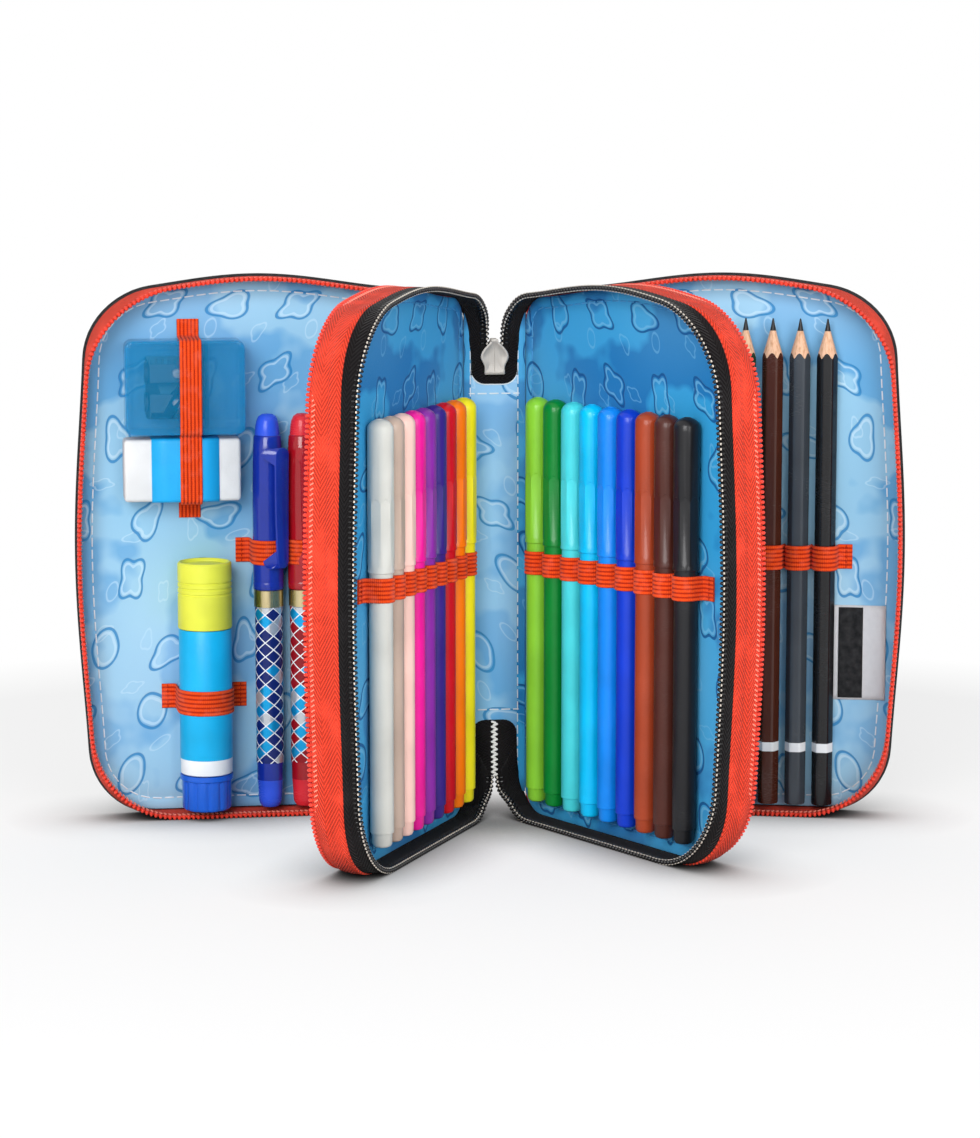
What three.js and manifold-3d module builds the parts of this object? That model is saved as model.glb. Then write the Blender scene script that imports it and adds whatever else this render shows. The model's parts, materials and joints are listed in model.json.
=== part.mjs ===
// A filled pencil case with three zipped compartments, standing on its short edge and fanned open.
// Four stiff leaves (two covers, two dividers) carry zip walls and elastic loops full of pens.
// Three fabric strips join them at the spine. Millimetres, +Z up, floor at z = 0.
//
// Every tray has the same local frame: its origin is on the leaf's hinge line at floor height,
// Y goes from the lining into the compartment, and the free side lies along X times tray.side.

import * as THREE from 'three';
import { mergeVertices } from 'three/addons/utils/BufferGeometryUtils.js';
import Module from 'manifold-3d';

const wasm = await Module();
wasm.setup();

const degree = Math.PI / 180;
const halfTurn = Math.PI;
const quarterTurn = Math.PI / 2;

// Driving sizes of the case
const leaf = {
  length: 124.5,
  sideHeight: 194,
  freeCorner: 24,
  spineCorner: 16,
  sideBow: 4.5,
  topCrown: 6,
  coverThickness: 2.4,
  dividerThickness: 1.9,
};

// How far each compartment stands open, and how far the middle strip is turned from the front
const opening = { left: 61 * degree, middle: 56 * degree, right: 46 * degree };
const spineTurn = 7.4 * degree;

// Clearances shared by neighbouring pieces
const seamGap = 0.3;
const hingeGap = 0.6;
const partingGap = 0.3;
const looseGap = 0.3;
const runningGap = 0.4;
const cutOverrun = 1;

// Depth of each tray, from its lining to the plane where the two rims meet
const trayDepth = { middle: 10.6, dividerBack: 7.6, cover: 14.2 };

// Zip tape with its row of coil teeth
const zip = {
  tapeThickness: 1.0,
  coilThickness: 2.2,
  coilHeight: 3.0,
  toothHeight: 1.2,
  toothPitch: 6.2,
  cornerDraw: 7,
  cornerSteps: 4,
  bottomSteps: 1,
  freeSideSteps: 6,
  topSteps: 5,
};

// Fabric strips of the spine, and the closed ends of the zips on them
const strip = { thickness: 1.2 };
const zipEnd = { margin: 2.2, footHeight: 19.4, headHeight: 17, cornerRound: 5, cornerSteps: 3 };
const chain = { width: 4.6, thickness: 2.6, toothPitch: 2.4, toothDepth: 0.5 };
const notch = { width: 5.4, drop: 8.4, shoulderShare: 0.4, footShare: 0.5 };

// Zip slider, with the bail that holds its pull
const slider = {
  length: 13,
  headWidth: 10.3,
  tailWidth: 7.2,
  tailLength: 3.6,
  waistWidth: 6.8,
  shoulderHeight: 6.6,
  plate: 0.8,
  nubWidth: 3.8,
  nubLength: 1.1,
  domeSteps: 4,
  postWidth: 2.6,
  postLength: 2.8,
  bailWidth: 2.2,
  bailLength: 5.0,
  bailBar: 0.7,
  bailWindow: 1.4,
  bailDrop: 5.6,
  headClearance: 0.5,
};
const pull = {
  length: 16,
  width: 7,
  waistShare: 0.8,
  thickness: 0.9,
  eyeWidth: 3.2,
  eyeLength: 3.6,
  barWidth: 0.9,
  tipRound: 2,
};

// Elastic loops
const elastic = {
  thickness: 0.8,
  tabLength: 6,
  archSteps: 6,
  wideArchSteps: 12,
  feltHeight: 8.8,
  penHeight: 9.4,
  glueHeight: 9.4,
};
const elasticHeight = { felt: 98.4, pens: 98.6, pencils: 96.2, glue: 44.4 };

// Felt-tip pen
const felt = {
  length: 149,
  foot: 8.2,
  capDiameter: 9.2,
  capNeckDiameter: 8.7,
  barrelDiameter: 8.3,
  plugDiameter: 7.2,
  plugLength: 5,
  capLength: 53,
  capStep: 27,
  domeRound: 2.6,
  ventDiameter: 2.4,
  ventDepth: 1.2,
  flare: 0.8,
  sides: 10,
};
const feltRow = { left: { first: 14.4, pitch: 9.9 }, right: { first: 16.2, pitch: 10.8 } };

// Hexagonal pencil
const pencil = {
  length: 181,
  foot: 3.4,
  acrossCorners: 8.0,
  coneLength: 15.4,
  leadDiameter: 2.2,
  leadLength: 4.6,
  leadTip: 0.5,
  endRound: 0.6,
  first: 70.3,
  pitch: 10.0,
};

// Clip pen with a cap
const pen = {
  length: 147,
  foot: 2.6,
  capDiameter: 11.4,
  capLength: 65,
  capHeadDiameter: 10.2,
  capTaper: 26,
  buttonDiameter: 9.2,
  buttonTipDiameter: 6,
  buttonLength: 8,
  buttonRound: 1.6,
  collarDiameter: 11.0,
  collarLength: 6.4,
  barrelDiameter: 10.3,
  tipDiameter: 8.6,
  tipLength: 17,
  endRound: 2.6,
  bore: 8.6,
  boreDepth: 30,
  spigotDiameter: 7.8,
  spigotLength: 28,
  spigotRound: 1.5,
  clipWidth: 6.4,
  clipThickness: 1.3,
  clipLength: 44.6,
  clipDrop: 12,
  clipGap: 1.8,
  clipFoot: 4.2,
  sides: 14,
};
const penRow = { first: 45.9, pitch: 12.9, clipTurn: { red: 12 * degree, blue: 35 * degree } };

// Glue stick
const glue = {
  along: 82.7,
  foot: 3.6,
  capDiameter: 19.9,
  capLength: 24.5,
  capGrooves: 3,
  grooveDepth: 0.5,
  groovePitch: 2.9,
  grooveDrop: 6.4,
  dishDiameter: 17.2,
  dishDepth: 1.2,
  capWall: 1.1,
  capBoreDepth: 20,
  barrelDiameter: 19.4,
  barrelLength: 54,
  neckDiameter: 16.6,
  neckLength: 18,
  knobDiameter: 18.2,
  knobLength: 13.2,
  flangeDiameter: 19.6,
  flangeLength: 1.8,
  knobFlutes: 12,
  fluteDepth: 0.5,
  edgeRound: 0.8,
  spigotDiameter: 8,
  spigotLength: 3,
  sides: 16,
};

// Sharpener in its box, and the eraser below it
const sharpenerBox = {
  along: 89.1,
  foot: 143,
  width: 43.4,
  height: 34.2,
  baseDepth: 11.5,
  lidDepth: 3,
  wall: 1.2,
  cornerRound: 3,
  lipInset: 2.2,
  lipHeight: 0.8,
  cornerSteps: 3,
};
const sharpenerBlock = {
  along: 92.4,
  foot: 148.4,
  width: 21,
  height: 22.4,
  depth: 8.6,
  edgeNotches: 5,
  notchDepth: 0.7,
  holeSpacing: 11,
  holeMouthRadius: 4.1,
  holeTipRadius: 1.1,
  holeLength: 19.5,
  holeDrop: 4.6,
  mouthRim: 1,
  slotHeight: 4.4,
  slotLength: 15,
  bladeLength: 14,
  bladeHeight: 4.8,
  bladeThickness: 0.5,
  bladeLapShare: 0.25,
  screwRadius: 1.7,
  screwHeight: 0.6,
  screwSides: 10,
  holeSides: 12,
};
const eraser = { along: 90.3, foot: 118.4, width: 42.7, height: 22.8, depth: 12.4, cornerRound: 1.4 };
const sleeve = { along: 89.3, width: 24.6, thickness: 0.4 };
const strap = { along: 87.2, width: 8.2 };

// Materials, one for each finish
const finish = (color, roughness, metalness = 0, opacity = 1) =>
  new THREE.MeshStandardMaterial({ color, roughness, metalness, opacity, transparent: opacity < 1 });
const finishes = {
  cover: finish(0x17181b, 0.8),
  lining: finish(0x6fb7dc, 0.85),
  redTape: finish(0xe03a2c, 0.75),
  blackTape: finish(0x16161a, 0.7),
  elastic: finish(0xe8481a, 0.8),
  zinc: finish(0xb9bcc0, 0.35, 0.9),
  clearBlue: finish(0x1590cf, 0.15, 0, 0.6),
  eraser: finish(0xf2f3f2, 0.7),
  glueCap: finish(0xe4e566, 0.35),
  glueBarrel: finish(0x0fb4e6, 0.35),
  glueKnob: finish(0x0b5bd3, 0.35),
  bluePen: finish(0x1c3aa8, 0.3),
  redPen: finish(0xb01528, 0.3),
};
const feltColours = {
  left: {
    yellow: 0xf2e228, orange: 0xff7a00, red: 0xcc0018, indigo: 0x3a1c80, purple: 0x8f239c,
    magenta: 0xeb1090, pink: 0xfacdbe, taupe: 0xbea596, grey: 0xcdcdc3,
  },
  right: {
    light_green: 0x82c832, green: 0x00822d, turquoise: 0x41d7d7, sky: 0x00bef5, blue: 0x0087eb,
    dark_blue: 0x0037c3, brown: 0xa03c1e, dark_brown: 0x4b231b, black: 0x1a1a1d,
  },
};
const pencilColours = { green: 0x1f5a3a, brown: 0x4a2219, grey: 0x3b4048, black: 0x17171a };

// Solids: three.js shapes joined and cut

function solidOf(geometry) {
  const bare = geometry.clone();
  bare.deleteAttribute('normal');
  bare.deleteAttribute('uv');
  const merged = mergeVertices(bare);
  return new wasm.Manifold(new wasm.Mesh({
    numProp: 3,
    vertProperties: new Float32Array(merged.attributes.position.array),
    triVerts: new Uint32Array(merged.index.array),
  }));
}

function geometryOf(solid) {
  const mesh = solid.getMesh();
  const geometry = new THREE.BufferGeometry();
  geometry.setAttribute('position', new THREE.BufferAttribute(new Float32Array(mesh.vertProperties), 3));
  geometry.setIndex(new THREE.BufferAttribute(new Uint32Array(mesh.triVerts), 1));
  geometry.computeVertexNormals();
  return geometry;
}

const joined = (first, ...others) =>
  geometryOf(others.reduce((whole, other) => whole.add(solidOf(other)), solidOf(first)));
const cut = (first, ...others) =>
  geometryOf(others.reduce((whole, other) => whole.subtract(solidOf(other)), solidOf(first)));

// A box between two corners
function boxBetween(low, high) {
  const size = high.map((value, axis) => value - low[axis]);
  const middle = high.map((value, axis) => (value + low[axis]) / 2);
  return new THREE.BoxGeometry(...size).translate(...middle);
}

// A flat outline in X and Z, made as deep as depth and starting at Y = from
const slab = (points, depth, from = 0) =>
  new THREE.ExtrudeGeometry(new THREE.Shape(points), { depth, bevelEnabled: false })
    .rotateX(quarterTurn)
    .translate(0, from + depth, 0);

// An outline in X and Y, raised from z = foot
const raised = (points, height, foot) =>
  new THREE.ExtrudeGeometry(new THREE.Shape(points), { depth: height, bevelEnabled: false })
    .translate(0, 0, foot);

// A revolved piece that stands along Z: the profile lists radius and height
const turned = (profile, sides) =>
  new THREE.LatheGeometry(profile.map(([radius, height]) => new THREE.Vector2(radius, height)), sides)
    .rotateX(quarterTurn);

// A rectangle with equal round corners, centred on x, from z = foot
function roundedRectangle(x, foot, width, height, round, steps) {
  const points = [];
  const centres = [
    [x + width / 2 - round, foot + round],
    [x + width / 2 - round, foot + height - round],
    [x - width / 2 + round, foot + height - round],
    [x - width / 2 + round, foot + round],
  ];
  centres.forEach(([cx, cz], corner) => {
    for (let step = 0; step <= steps; step += 1) {
      const angle = (corner - 1 + step / steps) * quarterTurn;
      points.push(new THREE.Vector2(cx + round * Math.cos(angle), cz + round * Math.sin(angle)));
    }
  });
  return points;
}

// The outline of a leaf

// The soft sides swell: the free side bows out and the top is crowned, both easing to nothing at the corners
function swollen({ x, y }) {
  const along = x / leaf.length;
  const up = y / leaf.sideHeight;
  return new THREE.Vector2(
    x + leaf.sideBow * along * Math.sin(Math.PI * up) ** 2,
    y + leaf.topCrown * up * Math.sin(Math.PI * along) ** 2,
  );
}

// The run of a zip: from the foot of the spine along the bottom, up the free side and back along the top.
// The free corners are rounder where the zip draws them in.
class Rim extends THREE.Curve {
  constructor(inset, draw = 0) {
    super();
    const free = leaf.length - inset;
    const top = leaf.sideHeight - inset;
    const far = leaf.freeCorner - inset + draw;
    const near = leaf.spineCorner - inset;
    const corner = (x, z, radius, from) =>
      new THREE.EllipseCurve(x, z, radius, radius, from, from + quarterTurn);
    const side = (x1, z1, x2, z2) =>
      new THREE.LineCurve(new THREE.Vector2(x1, z1), new THREE.Vector2(x2, z2));
    this.runs = [
      corner(inset + near, inset + near, near, halfTurn),
      side(inset + near, inset, free - far, inset),
      corner(free - far, inset + far, far, halfTurn + quarterTurn),
      side(free, inset + far, free, top - far),
      corner(free - far, top - far, far, 0),
      side(free - far, top, inset + near, top),
      corner(inset + near, top - near, near, quarterTurn),
    ];
    this.whole = new THREE.CurvePath();
    this.runs.forEach((run) => this.whole.add(run));
  }

  getPoint(t) {
    return swollen(this.whole.getPoint(t));
  }

  // The few points that the outline's shape needs
  corners() {
    const { cornerSteps, bottomSteps, freeSideSteps, topSteps } = zip;
    const runSteps = [
      cornerSteps, bottomSteps, cornerSteps, freeSideSteps, cornerSteps, topSteps, cornerSteps,
    ];
    const points = [];
    this.runs.forEach((run, index) => {
      const steps = runSteps[index];
      const found = run.getPoints(steps).map(swollen);
      points.push(...(index === 0 ? found : found.slice(1)));
    });
    return points;
  }
}

const leafOutline = new Rim(0).corners();

// Zip walls

// The triangles between two edges of a ribbon, whose vertices are sorted by their share of its length
function ribbonFace(near, far) {
  const triangles = [];
  let a = 0;
  let b = 0;
  while (a < near.length - 1 || b < far.length - 1) {
    const stepNear = b === far.length - 1 || (a < near.length - 1 && near[a + 1].t <= far[b + 1].t);
    if (stepNear) {
      triangles.push(near[a].index, far[b].index, near[a + 1].index);
      a += 1;
    } else {
      triangles.push(near[a].index, far[b].index, far[b + 1].index);
      b += 1;
    }
  }
  return triangles;
}

// One half of a zip: the tape stands round three sides of the tray and carries the coil at its rim.
// The crest of the coil rises and falls once a tooth, and every other edge needs only the rim's corners.
function zipHalfGeometry(depth) {
  const crest = depth - partingGap;
  const coilRoot = crest - zip.coilHeight;
  const teeth = Math.round(new Rim(0).getLength() / zip.toothPitch);
  const vertices = [];
  const place = (point, height, t) => {
    vertices.push(point.x, height, point.y);
    return { t, index: vertices.length / 3 - 1 };
  };
  const plainEdge = (inset, height, draw = 0) => {
    const points = new Rim(inset, draw).corners();
    const lengths = points.map((point, index) => (index ? point.distanceTo(points[index - 1]) : 0));
    const total = lengths.reduce((sum, length) => sum + length);
    let run = 0;
    return points.map((point, index) => {
      run += lengths[index];
      return place(point, height, run / total);
    });
  };
  const toothedEdge = (inset) => {
    const rim = new Rim(inset, zip.cornerDraw);
    return Array.from({ length: 2 * teeth + 1 }, (unused, step) => {
      const t = step / (2 * teeth);
      return place(rim.getPointAt(t), crest - (step % 2) * zip.toothHeight, t);
    });
  };
  const edges = [
    plainEdge(0, seamGap),
    plainEdge(0, coilRoot, zip.cornerDraw),
    toothedEdge(0),
    toothedEdge(zip.coilThickness),
    plainEdge(zip.coilThickness, coilRoot, zip.cornerDraw),
    plainEdge(zip.tapeThickness, coilRoot, zip.cornerDraw),
    plainEdge(zip.tapeThickness, seamGap),
  ];
  const triangles = edges.flatMap((near, side) => ribbonFace(near, edges[(side + 1) % edges.length]));
  const endFaces = [[0, 1, 5], [0, 5, 6], [2, 3, 4], [2, 4, 5], [1, 2, 5]];
  endFaces.forEach((face) => {
    triangles.push(...face.map((side) => edges[side].at(0).index).reverse());
    triangles.push(...face.map((side) => edges[side].at(-1).index));
  });
  const geometry = new THREE.BufferGeometry();
  geometry.setAttribute('position', new THREE.Float32BufferAttribute(vertices, 3));
  geometry.setIndex(triangles);
  return geometry;
}

// Leaves

const coverPanel = slab(leafOutline, leaf.coverThickness, -leaf.coverThickness);
const dividerPanel = slab(leafOutline, leaf.dividerThickness, -leaf.dividerThickness);

// Spine strips, in a frame with X across the strip, Z up and the inner face at y = 0

const spineFoot = leaf.spineCorner + seamGap;
const spineHead = leaf.sideHeight - leaf.spineCorner - seamGap;
const stripMiddle = strip.thickness / 2;
const footEndHead = spineFoot + zipEnd.footHeight;
const headEndFoot = spineHead - zipEnd.headHeight;
const chainHead = spineHead - notch.drop;

const stripPanel = (width) => {
  const half = width / 2 - hingeGap;
  return boxBetween([-half, 0, spineFoot], [half, strip.thickness, spineHead]);
};

// Each closed end of a zip is a piece of tape let into the strip, square at the edge and round inside
function zipEndOutline(width, edge, inner, grow) {
  const half = width / 2 - zipEnd.margin + grow;
  const side = Math.sign(inner - edge);
  const round = zipEnd.cornerRound;
  const tip = inner + side * grow;
  const arc = Array.from({ length: zipEnd.cornerSteps + 1 }, (unused, step) => {
    const angle = step / zipEnd.cornerSteps * quarterTurn;
    return [half - round * (1 - Math.cos(angle)), tip - side * round * (1 - Math.sin(angle))];
  });
  const right = [[half, edge - side * (grow > 0 ? cutOverrun : 0)], ...arc];
  const left = right.map(([x, z]) => [-x, z]).reverse();
  return [...right, ...left].map(([x, z]) => new THREE.Vector2(x, z));
}

const footEnd = (width, grow = 0) => zipEndOutline(width, spineFoot, footEndHead, grow);
const headEnd = (width, grow = 0) => zipEndOutline(width, spineHead, headEndFoot, grow);
const throughStrip = (outline) => slab(outline, strip.thickness + 2 * cutOverrun, -cutOverrun);

// The meshed teeth of a closed zip along the middle of the strip: ridges that rise and fall once a tooth
function closedChain(foot, head) {
  const teeth = Math.floor((head - foot) / chain.toothPitch);
  const steps = 2 * teeth;
  const edge = (side) => Array.from({ length: steps + 1 }, (unused, step) => new THREE.Vector2(
    foot + step / steps * (head - foot),
    stripMiddle + side * (chain.thickness / 2 - (step % 2 ? 0 : chain.toothDepth)),
  ));
  return raised([...edge(-1), ...edge(1).reverse()], chain.width, -chain.width / 2).rotateY(-quarterTurn);
}

// The notch at the head of a strip where the two tapes part for the slider's post
function headNotch() {
  const half = notch.width / 2;
  const shoulder = chainHead + notch.drop * notch.shoulderShare;
  const points = [
    [-half, spineHead + cutOverrun], [half, spineHead + cutOverrun], [half, shoulder],
    [half * notch.footShare, chainHead], [-half * notch.footShare, chainHead], [-half, shoulder],
  ];
  return throughStrip(points.map(([x, z]) => new THREE.Vector2(x, z)));
}

const zipHeadEnd = (width) => cut(
  joined(slab(headEnd(width), strip.thickness), closedChain(headEndFoot + zipEnd.cornerRound, chainHead)),
  headNotch(),
);
const zipFootEnd = (width) => joined(
  slab(footEnd(width), strip.thickness),
  closedChain(spineFoot, footEndHead - seamGap),
);
const liningStrip = (width) => cut(
  stripPanel(width),
  throughStrip(headEnd(width, seamGap)),
  throughStrip(footEnd(width, seamGap)),
);
const wholeStrip = (width) => cut(
  joined(
    stripPanel(width),
    closedChain(headEndFoot, chainHead),
    closedChain(spineFoot, footEndHead),
  ),
  headNotch(),
);

// Zip slider: two shield-shaped plates on a post, with a bail on the outer plate

const sliderHead = spineHead - slider.headClearance;
const sliderFoot = sliderHead - slider.length;
const innerPlateFace = stripMiddle - chain.thickness / 2 - runningGap;
const outerPlateFace = stripMiddle + chain.thickness / 2 + runningGap;
const bailFoot = sliderHead - slider.bailDrop - slider.bailLength;
const bailFace = outerPlateFace + slider.plate;
const pivot = {
  y: bailFace + slider.bailWindow / 2,
  z: bailFoot + slider.bailBar + runningGap + pull.barWidth / 2,
};

function sliderShield() {
  const nub = slider.nubWidth / 2;
  const head = slider.headWidth / 2;
  const shoulder = sliderFoot + slider.shoulderHeight;
  const rise = slider.length - slider.shoulderHeight - slider.nubLength;
  const reach = Math.acos(nub / head);
  const dome = Array.from({ length: slider.domeSteps + 1 }, (unused, step) => {
    const angle = step / slider.domeSteps * reach;
    return [head * Math.cos(angle), shoulder + rise * Math.sin(angle) / Math.sin(reach)];
  });
  const half = [
    [slider.tailWidth / 2, sliderFoot],
    [slider.waistWidth / 2, sliderFoot + slider.tailLength],
    ...dome,
    [nub, sliderHead],
  ];
  const mirror = half.map(([x, z]) => [-x, z]).reverse();
  return [...half, ...mirror].map(([x, z]) => new THREE.Vector2(x, z));
}

function sliderGeometry() {
  const plates = [innerPlateFace - slider.plate, outerPlateFace]
    .map((face) => slab(sliderShield(), slider.plate, face));
  const postHead = sliderHead - slider.nubLength;
  const overlap = slider.plate / 2;
  const post = boxBetween(
    [-slider.postWidth / 2, innerPlateFace - overlap, postHead - slider.postLength],
    [slider.postWidth / 2, outerPlateFace + overlap, postHead],
  );
  const half = slider.bailWidth / 2;
  const bail = boxBetween(
    [-half, bailFace - overlap, bailFoot],
    [half, bailFace + slider.bailWindow + slider.bailBar, bailFoot + slider.bailLength],
  );
  const window = boxBetween(
    [-half - cutOverrun, bailFace, bailFoot + slider.bailBar],
    [half + cutOverrun, bailFace + slider.bailWindow, bailFoot + slider.bailLength - slider.bailBar],
  );
  return joined(plates[0], plates[1], post, cut(bail, window));
}

// The pull hangs from a bar inside the bail's window, and its eye goes round the bail's foot
function pullGeometry() {
  const half = pull.width / 2;
  const eye = pull.eyeWidth / 2;
  const head = pull.barWidth / 2;
  const round = pull.tipRound;
  const waist = half * pull.waistShare;
  const outline = [
    [waist, head], [half, -pull.eyeLength], [waist, -pull.length / 2],
    [half, -pull.length + round], [half - round, -pull.length],
  ];
  const mirror = outline.map(([x, z]) => [-x, z]).reverse();
  const plate = slab(
    [...outline, ...mirror].map(([x, z]) => new THREE.Vector2(x, z)),
    pull.thickness,
    -pull.thickness / 2,
  );
  const hole = boxBetween(
    [-eye, -pull.thickness, -head - pull.eyeLength],
    [eye, pull.thickness, -head],
  );
  return cut(plate, hole);
}

// Pens, turned on a lathe with the foot at z = 0

function feltGeometry() {
  const { length, capLength, capStep, domeRound, plugLength, flare, ventDepth } = felt;
  const cap = felt.capDiameter / 2;
  const neck = felt.capNeckDiameter / 2;
  const barrel = felt.barrelDiameter / 2;
  const plug = felt.plugDiameter / 2;
  const vent = felt.ventDiameter / 2;
  const capFoot = length - capLength;
  return turned([
    [0, 0],
    [plug, 0],
    [barrel, plugLength],
    [barrel, capFoot],
    [cap, capFoot],
    [cap, length - capStep],
    [neck, length - capStep + flare],
    [neck, length - domeRound],
    [neck - domeRound / 2, length],
    [vent, length],
    [0, length - ventDepth],
  ], felt.sides);
}

function pencilGeometry() {
  const { length, coneLength, leadLength, endRound } = pencil;
  const corner = pencil.acrossCorners / 2;
  return turned([
    [0, 0],
    [corner - endRound, 0],
    [corner, endRound],
    [corner, length - coneLength],
    [pencil.leadDiameter / 2, length - leadLength],
    [pencil.leadTip / 2, length],
    [0, length],
  ], 6);
}

// A clip pen: the barrel has a spigot that carries the nib, and the cap is bored to slide over it
const penCapFoot = pen.length - pen.capLength;

function penBarrelGeometry() {
  const collar = pen.collarDiameter / 2;
  const barrel = pen.barrelDiameter / 2;
  const tip = pen.tipDiameter / 2;
  const spigot = pen.spigotDiameter / 2;
  const collarHead = penCapFoot - looseGap;
  return turned([
    [0, 0],
    [tip - pen.endRound, 0],
    [tip, pen.endRound],
    [barrel, pen.tipLength],
    [barrel, collarHead - pen.collarLength],
    [collar, collarHead - pen.collarLength],
    [collar, collarHead],
    [spigot, collarHead],
    [spigot, collarHead + pen.spigotLength - pen.spigotRound],
    [0, collarHead + pen.spigotLength],
  ], pen.sides);
}

function penCapGeometry() {
  const cap = pen.capDiameter / 2;
  const bore = pen.bore / 2;
  const button = pen.buttonDiameter / 2;
  const tip = pen.buttonTipDiameter / 2;
  const buttonFoot = pen.capLength - pen.buttonLength;
  const shell = turned([
    [bore, 0],
    [cap, 0],
    [cap, buttonFoot - pen.capTaper],
    [pen.capHeadDiameter / 2, buttonFoot],
    [button, buttonFoot],
    [tip, pen.capLength - pen.buttonRound],
    [tip - pen.buttonRound, pen.capLength],
    [0, pen.capLength],
    [0, pen.boreDepth],
    [bore, pen.boreDepth],
    [bore, 0],
  ], pen.sides);
  const clipHead = pen.capLength - pen.clipDrop;
  const half = pen.clipWidth / 2;
  const overlap = pen.clipThickness;
  const bridge = boxBetween(
    [-half, cap - overlap, clipHead - pen.clipFoot],
    [half, cap + pen.clipGap + pen.clipThickness, clipHead],
  );
  const arm = boxBetween(
    [-half, cap + pen.clipGap, clipHead - pen.clipLength],
    [half, cap + pen.clipGap + pen.clipThickness, clipHead],
  );
  return joined(shell, bridge, arm);
}

// Glue stick: a cap over a barrel, on a fluted knob that winds the stick up

const glueKnobHead = glue.knobLength;
const glueBarrelFoot = glueKnobHead + looseGap;
const glueCapFoot = glueBarrelFoot + glue.barrelLength + looseGap;

function glueCapGeometry() {
  const radius = glue.capDiameter / 2;
  const bore = radius - glue.capWall;
  const highest = glue.capLength - glue.grooveDrop;
  const grooves = Array.from({ length: glue.capGrooves }, (unused, groove) => {
    const head = highest - groove * glue.groovePitch;
    return [
      [radius, head - glue.groovePitch / 2],
      [radius - glue.grooveDepth, head - glue.groovePitch / 4],
      [radius, head],
    ];
  }).reverse().flat();
  return turned([
    [bore, 0],
    [radius, 0],
    ...grooves,
    [radius, glue.capLength - glue.edgeRound],
    [radius - glue.edgeRound, glue.capLength],
    [glue.dishDiameter / 2, glue.capLength],
    [glue.dishDiameter / 2 - glue.edgeRound, glue.capLength - glue.dishDepth],
    [0, glue.capLength - glue.dishDepth],
    [0, glue.capBoreDepth],
    [bore, glue.capBoreDepth],
    [bore, 0],
  ], glue.sides);
}

function glueBarrelGeometry() {
  const radius = glue.barrelDiameter / 2;
  const neck = glue.neckDiameter / 2;
  const socket = glue.spigotDiameter / 2 + runningGap;
  const socketDepth = glue.spigotLength + runningGap;
  return turned([
    [0, socketDepth],
    [socket, socketDepth],
    [socket, 0],
    [radius, 0],
    [radius, glue.barrelLength],
    [neck, glue.barrelLength],
    [neck, glue.barrelLength + glue.neckLength],
    [0, glue.barrelLength + glue.neckLength],
  ], glue.sides);
}

function glueKnobGeometry() {
  const radius = glue.knobDiameter / 2;
  const flutes = 2 * glue.knobFlutes;
  const outline = Array.from({ length: flutes }, (unused, step) => {
    const reach = radius - (step % 2) * glue.fluteDepth;
    const angle = step / flutes * 2 * Math.PI;
    return new THREE.Vector2(reach * Math.cos(angle), reach * Math.sin(angle));
  });
  const flange = turned([
    [0, 0],
    [glue.flangeDiameter / 2, 0],
    [glue.flangeDiameter / 2, glue.flangeLength],
    [0, glue.flangeLength],
  ], glue.sides);
  const spigot = turned([
    [0, glue.flangeLength / 2],
    [glue.spigotDiameter / 2, glue.flangeLength / 2],
    [glue.spigotDiameter / 2, glue.knobLength + glue.spigotLength],
    [0, glue.knobLength + glue.spigotLength],
  ], glue.sides);
  const grip = raised(outline, glue.knobLength - glue.flangeLength / 2, glue.flangeLength / 2);
  return joined(grip, flange, spigot);
}

// Sharpener box: an open base, a lid with a raised panel, and a metal block with two tapered holes

const boxOutline = (inset) => roundedRectangle(
  sharpenerBox.along,
  sharpenerBox.foot + inset,
  sharpenerBox.width - 2 * inset,
  sharpenerBox.height - 2 * inset,
  sharpenerBox.cornerRound - Math.min(inset, sharpenerBox.cornerRound / 2),
  sharpenerBox.cornerSteps,
);
const boxLidFace = looseGap + sharpenerBox.baseDepth + seamGap;
const boxFront = boxLidFace + sharpenerBox.lidDepth + sharpenerBox.lipHeight;

const sharpenerBaseGeometry = () => cut(
  slab(boxOutline(0), sharpenerBox.baseDepth, looseGap),
  slab(boxOutline(sharpenerBox.wall), sharpenerBox.baseDepth + cutOverrun, looseGap + sharpenerBox.wall),
);
const sharpenerLidGeometry = () => joined(
  slab(boxOutline(0), sharpenerBox.lidDepth, boxLidFace),
  slab(
    boxOutline(sharpenerBox.lipInset),
    sharpenerBox.lipHeight + sharpenerBox.lidDepth / 2,
    boxLidFace + sharpenerBox.lidDepth / 2,
  ),
);

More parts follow.
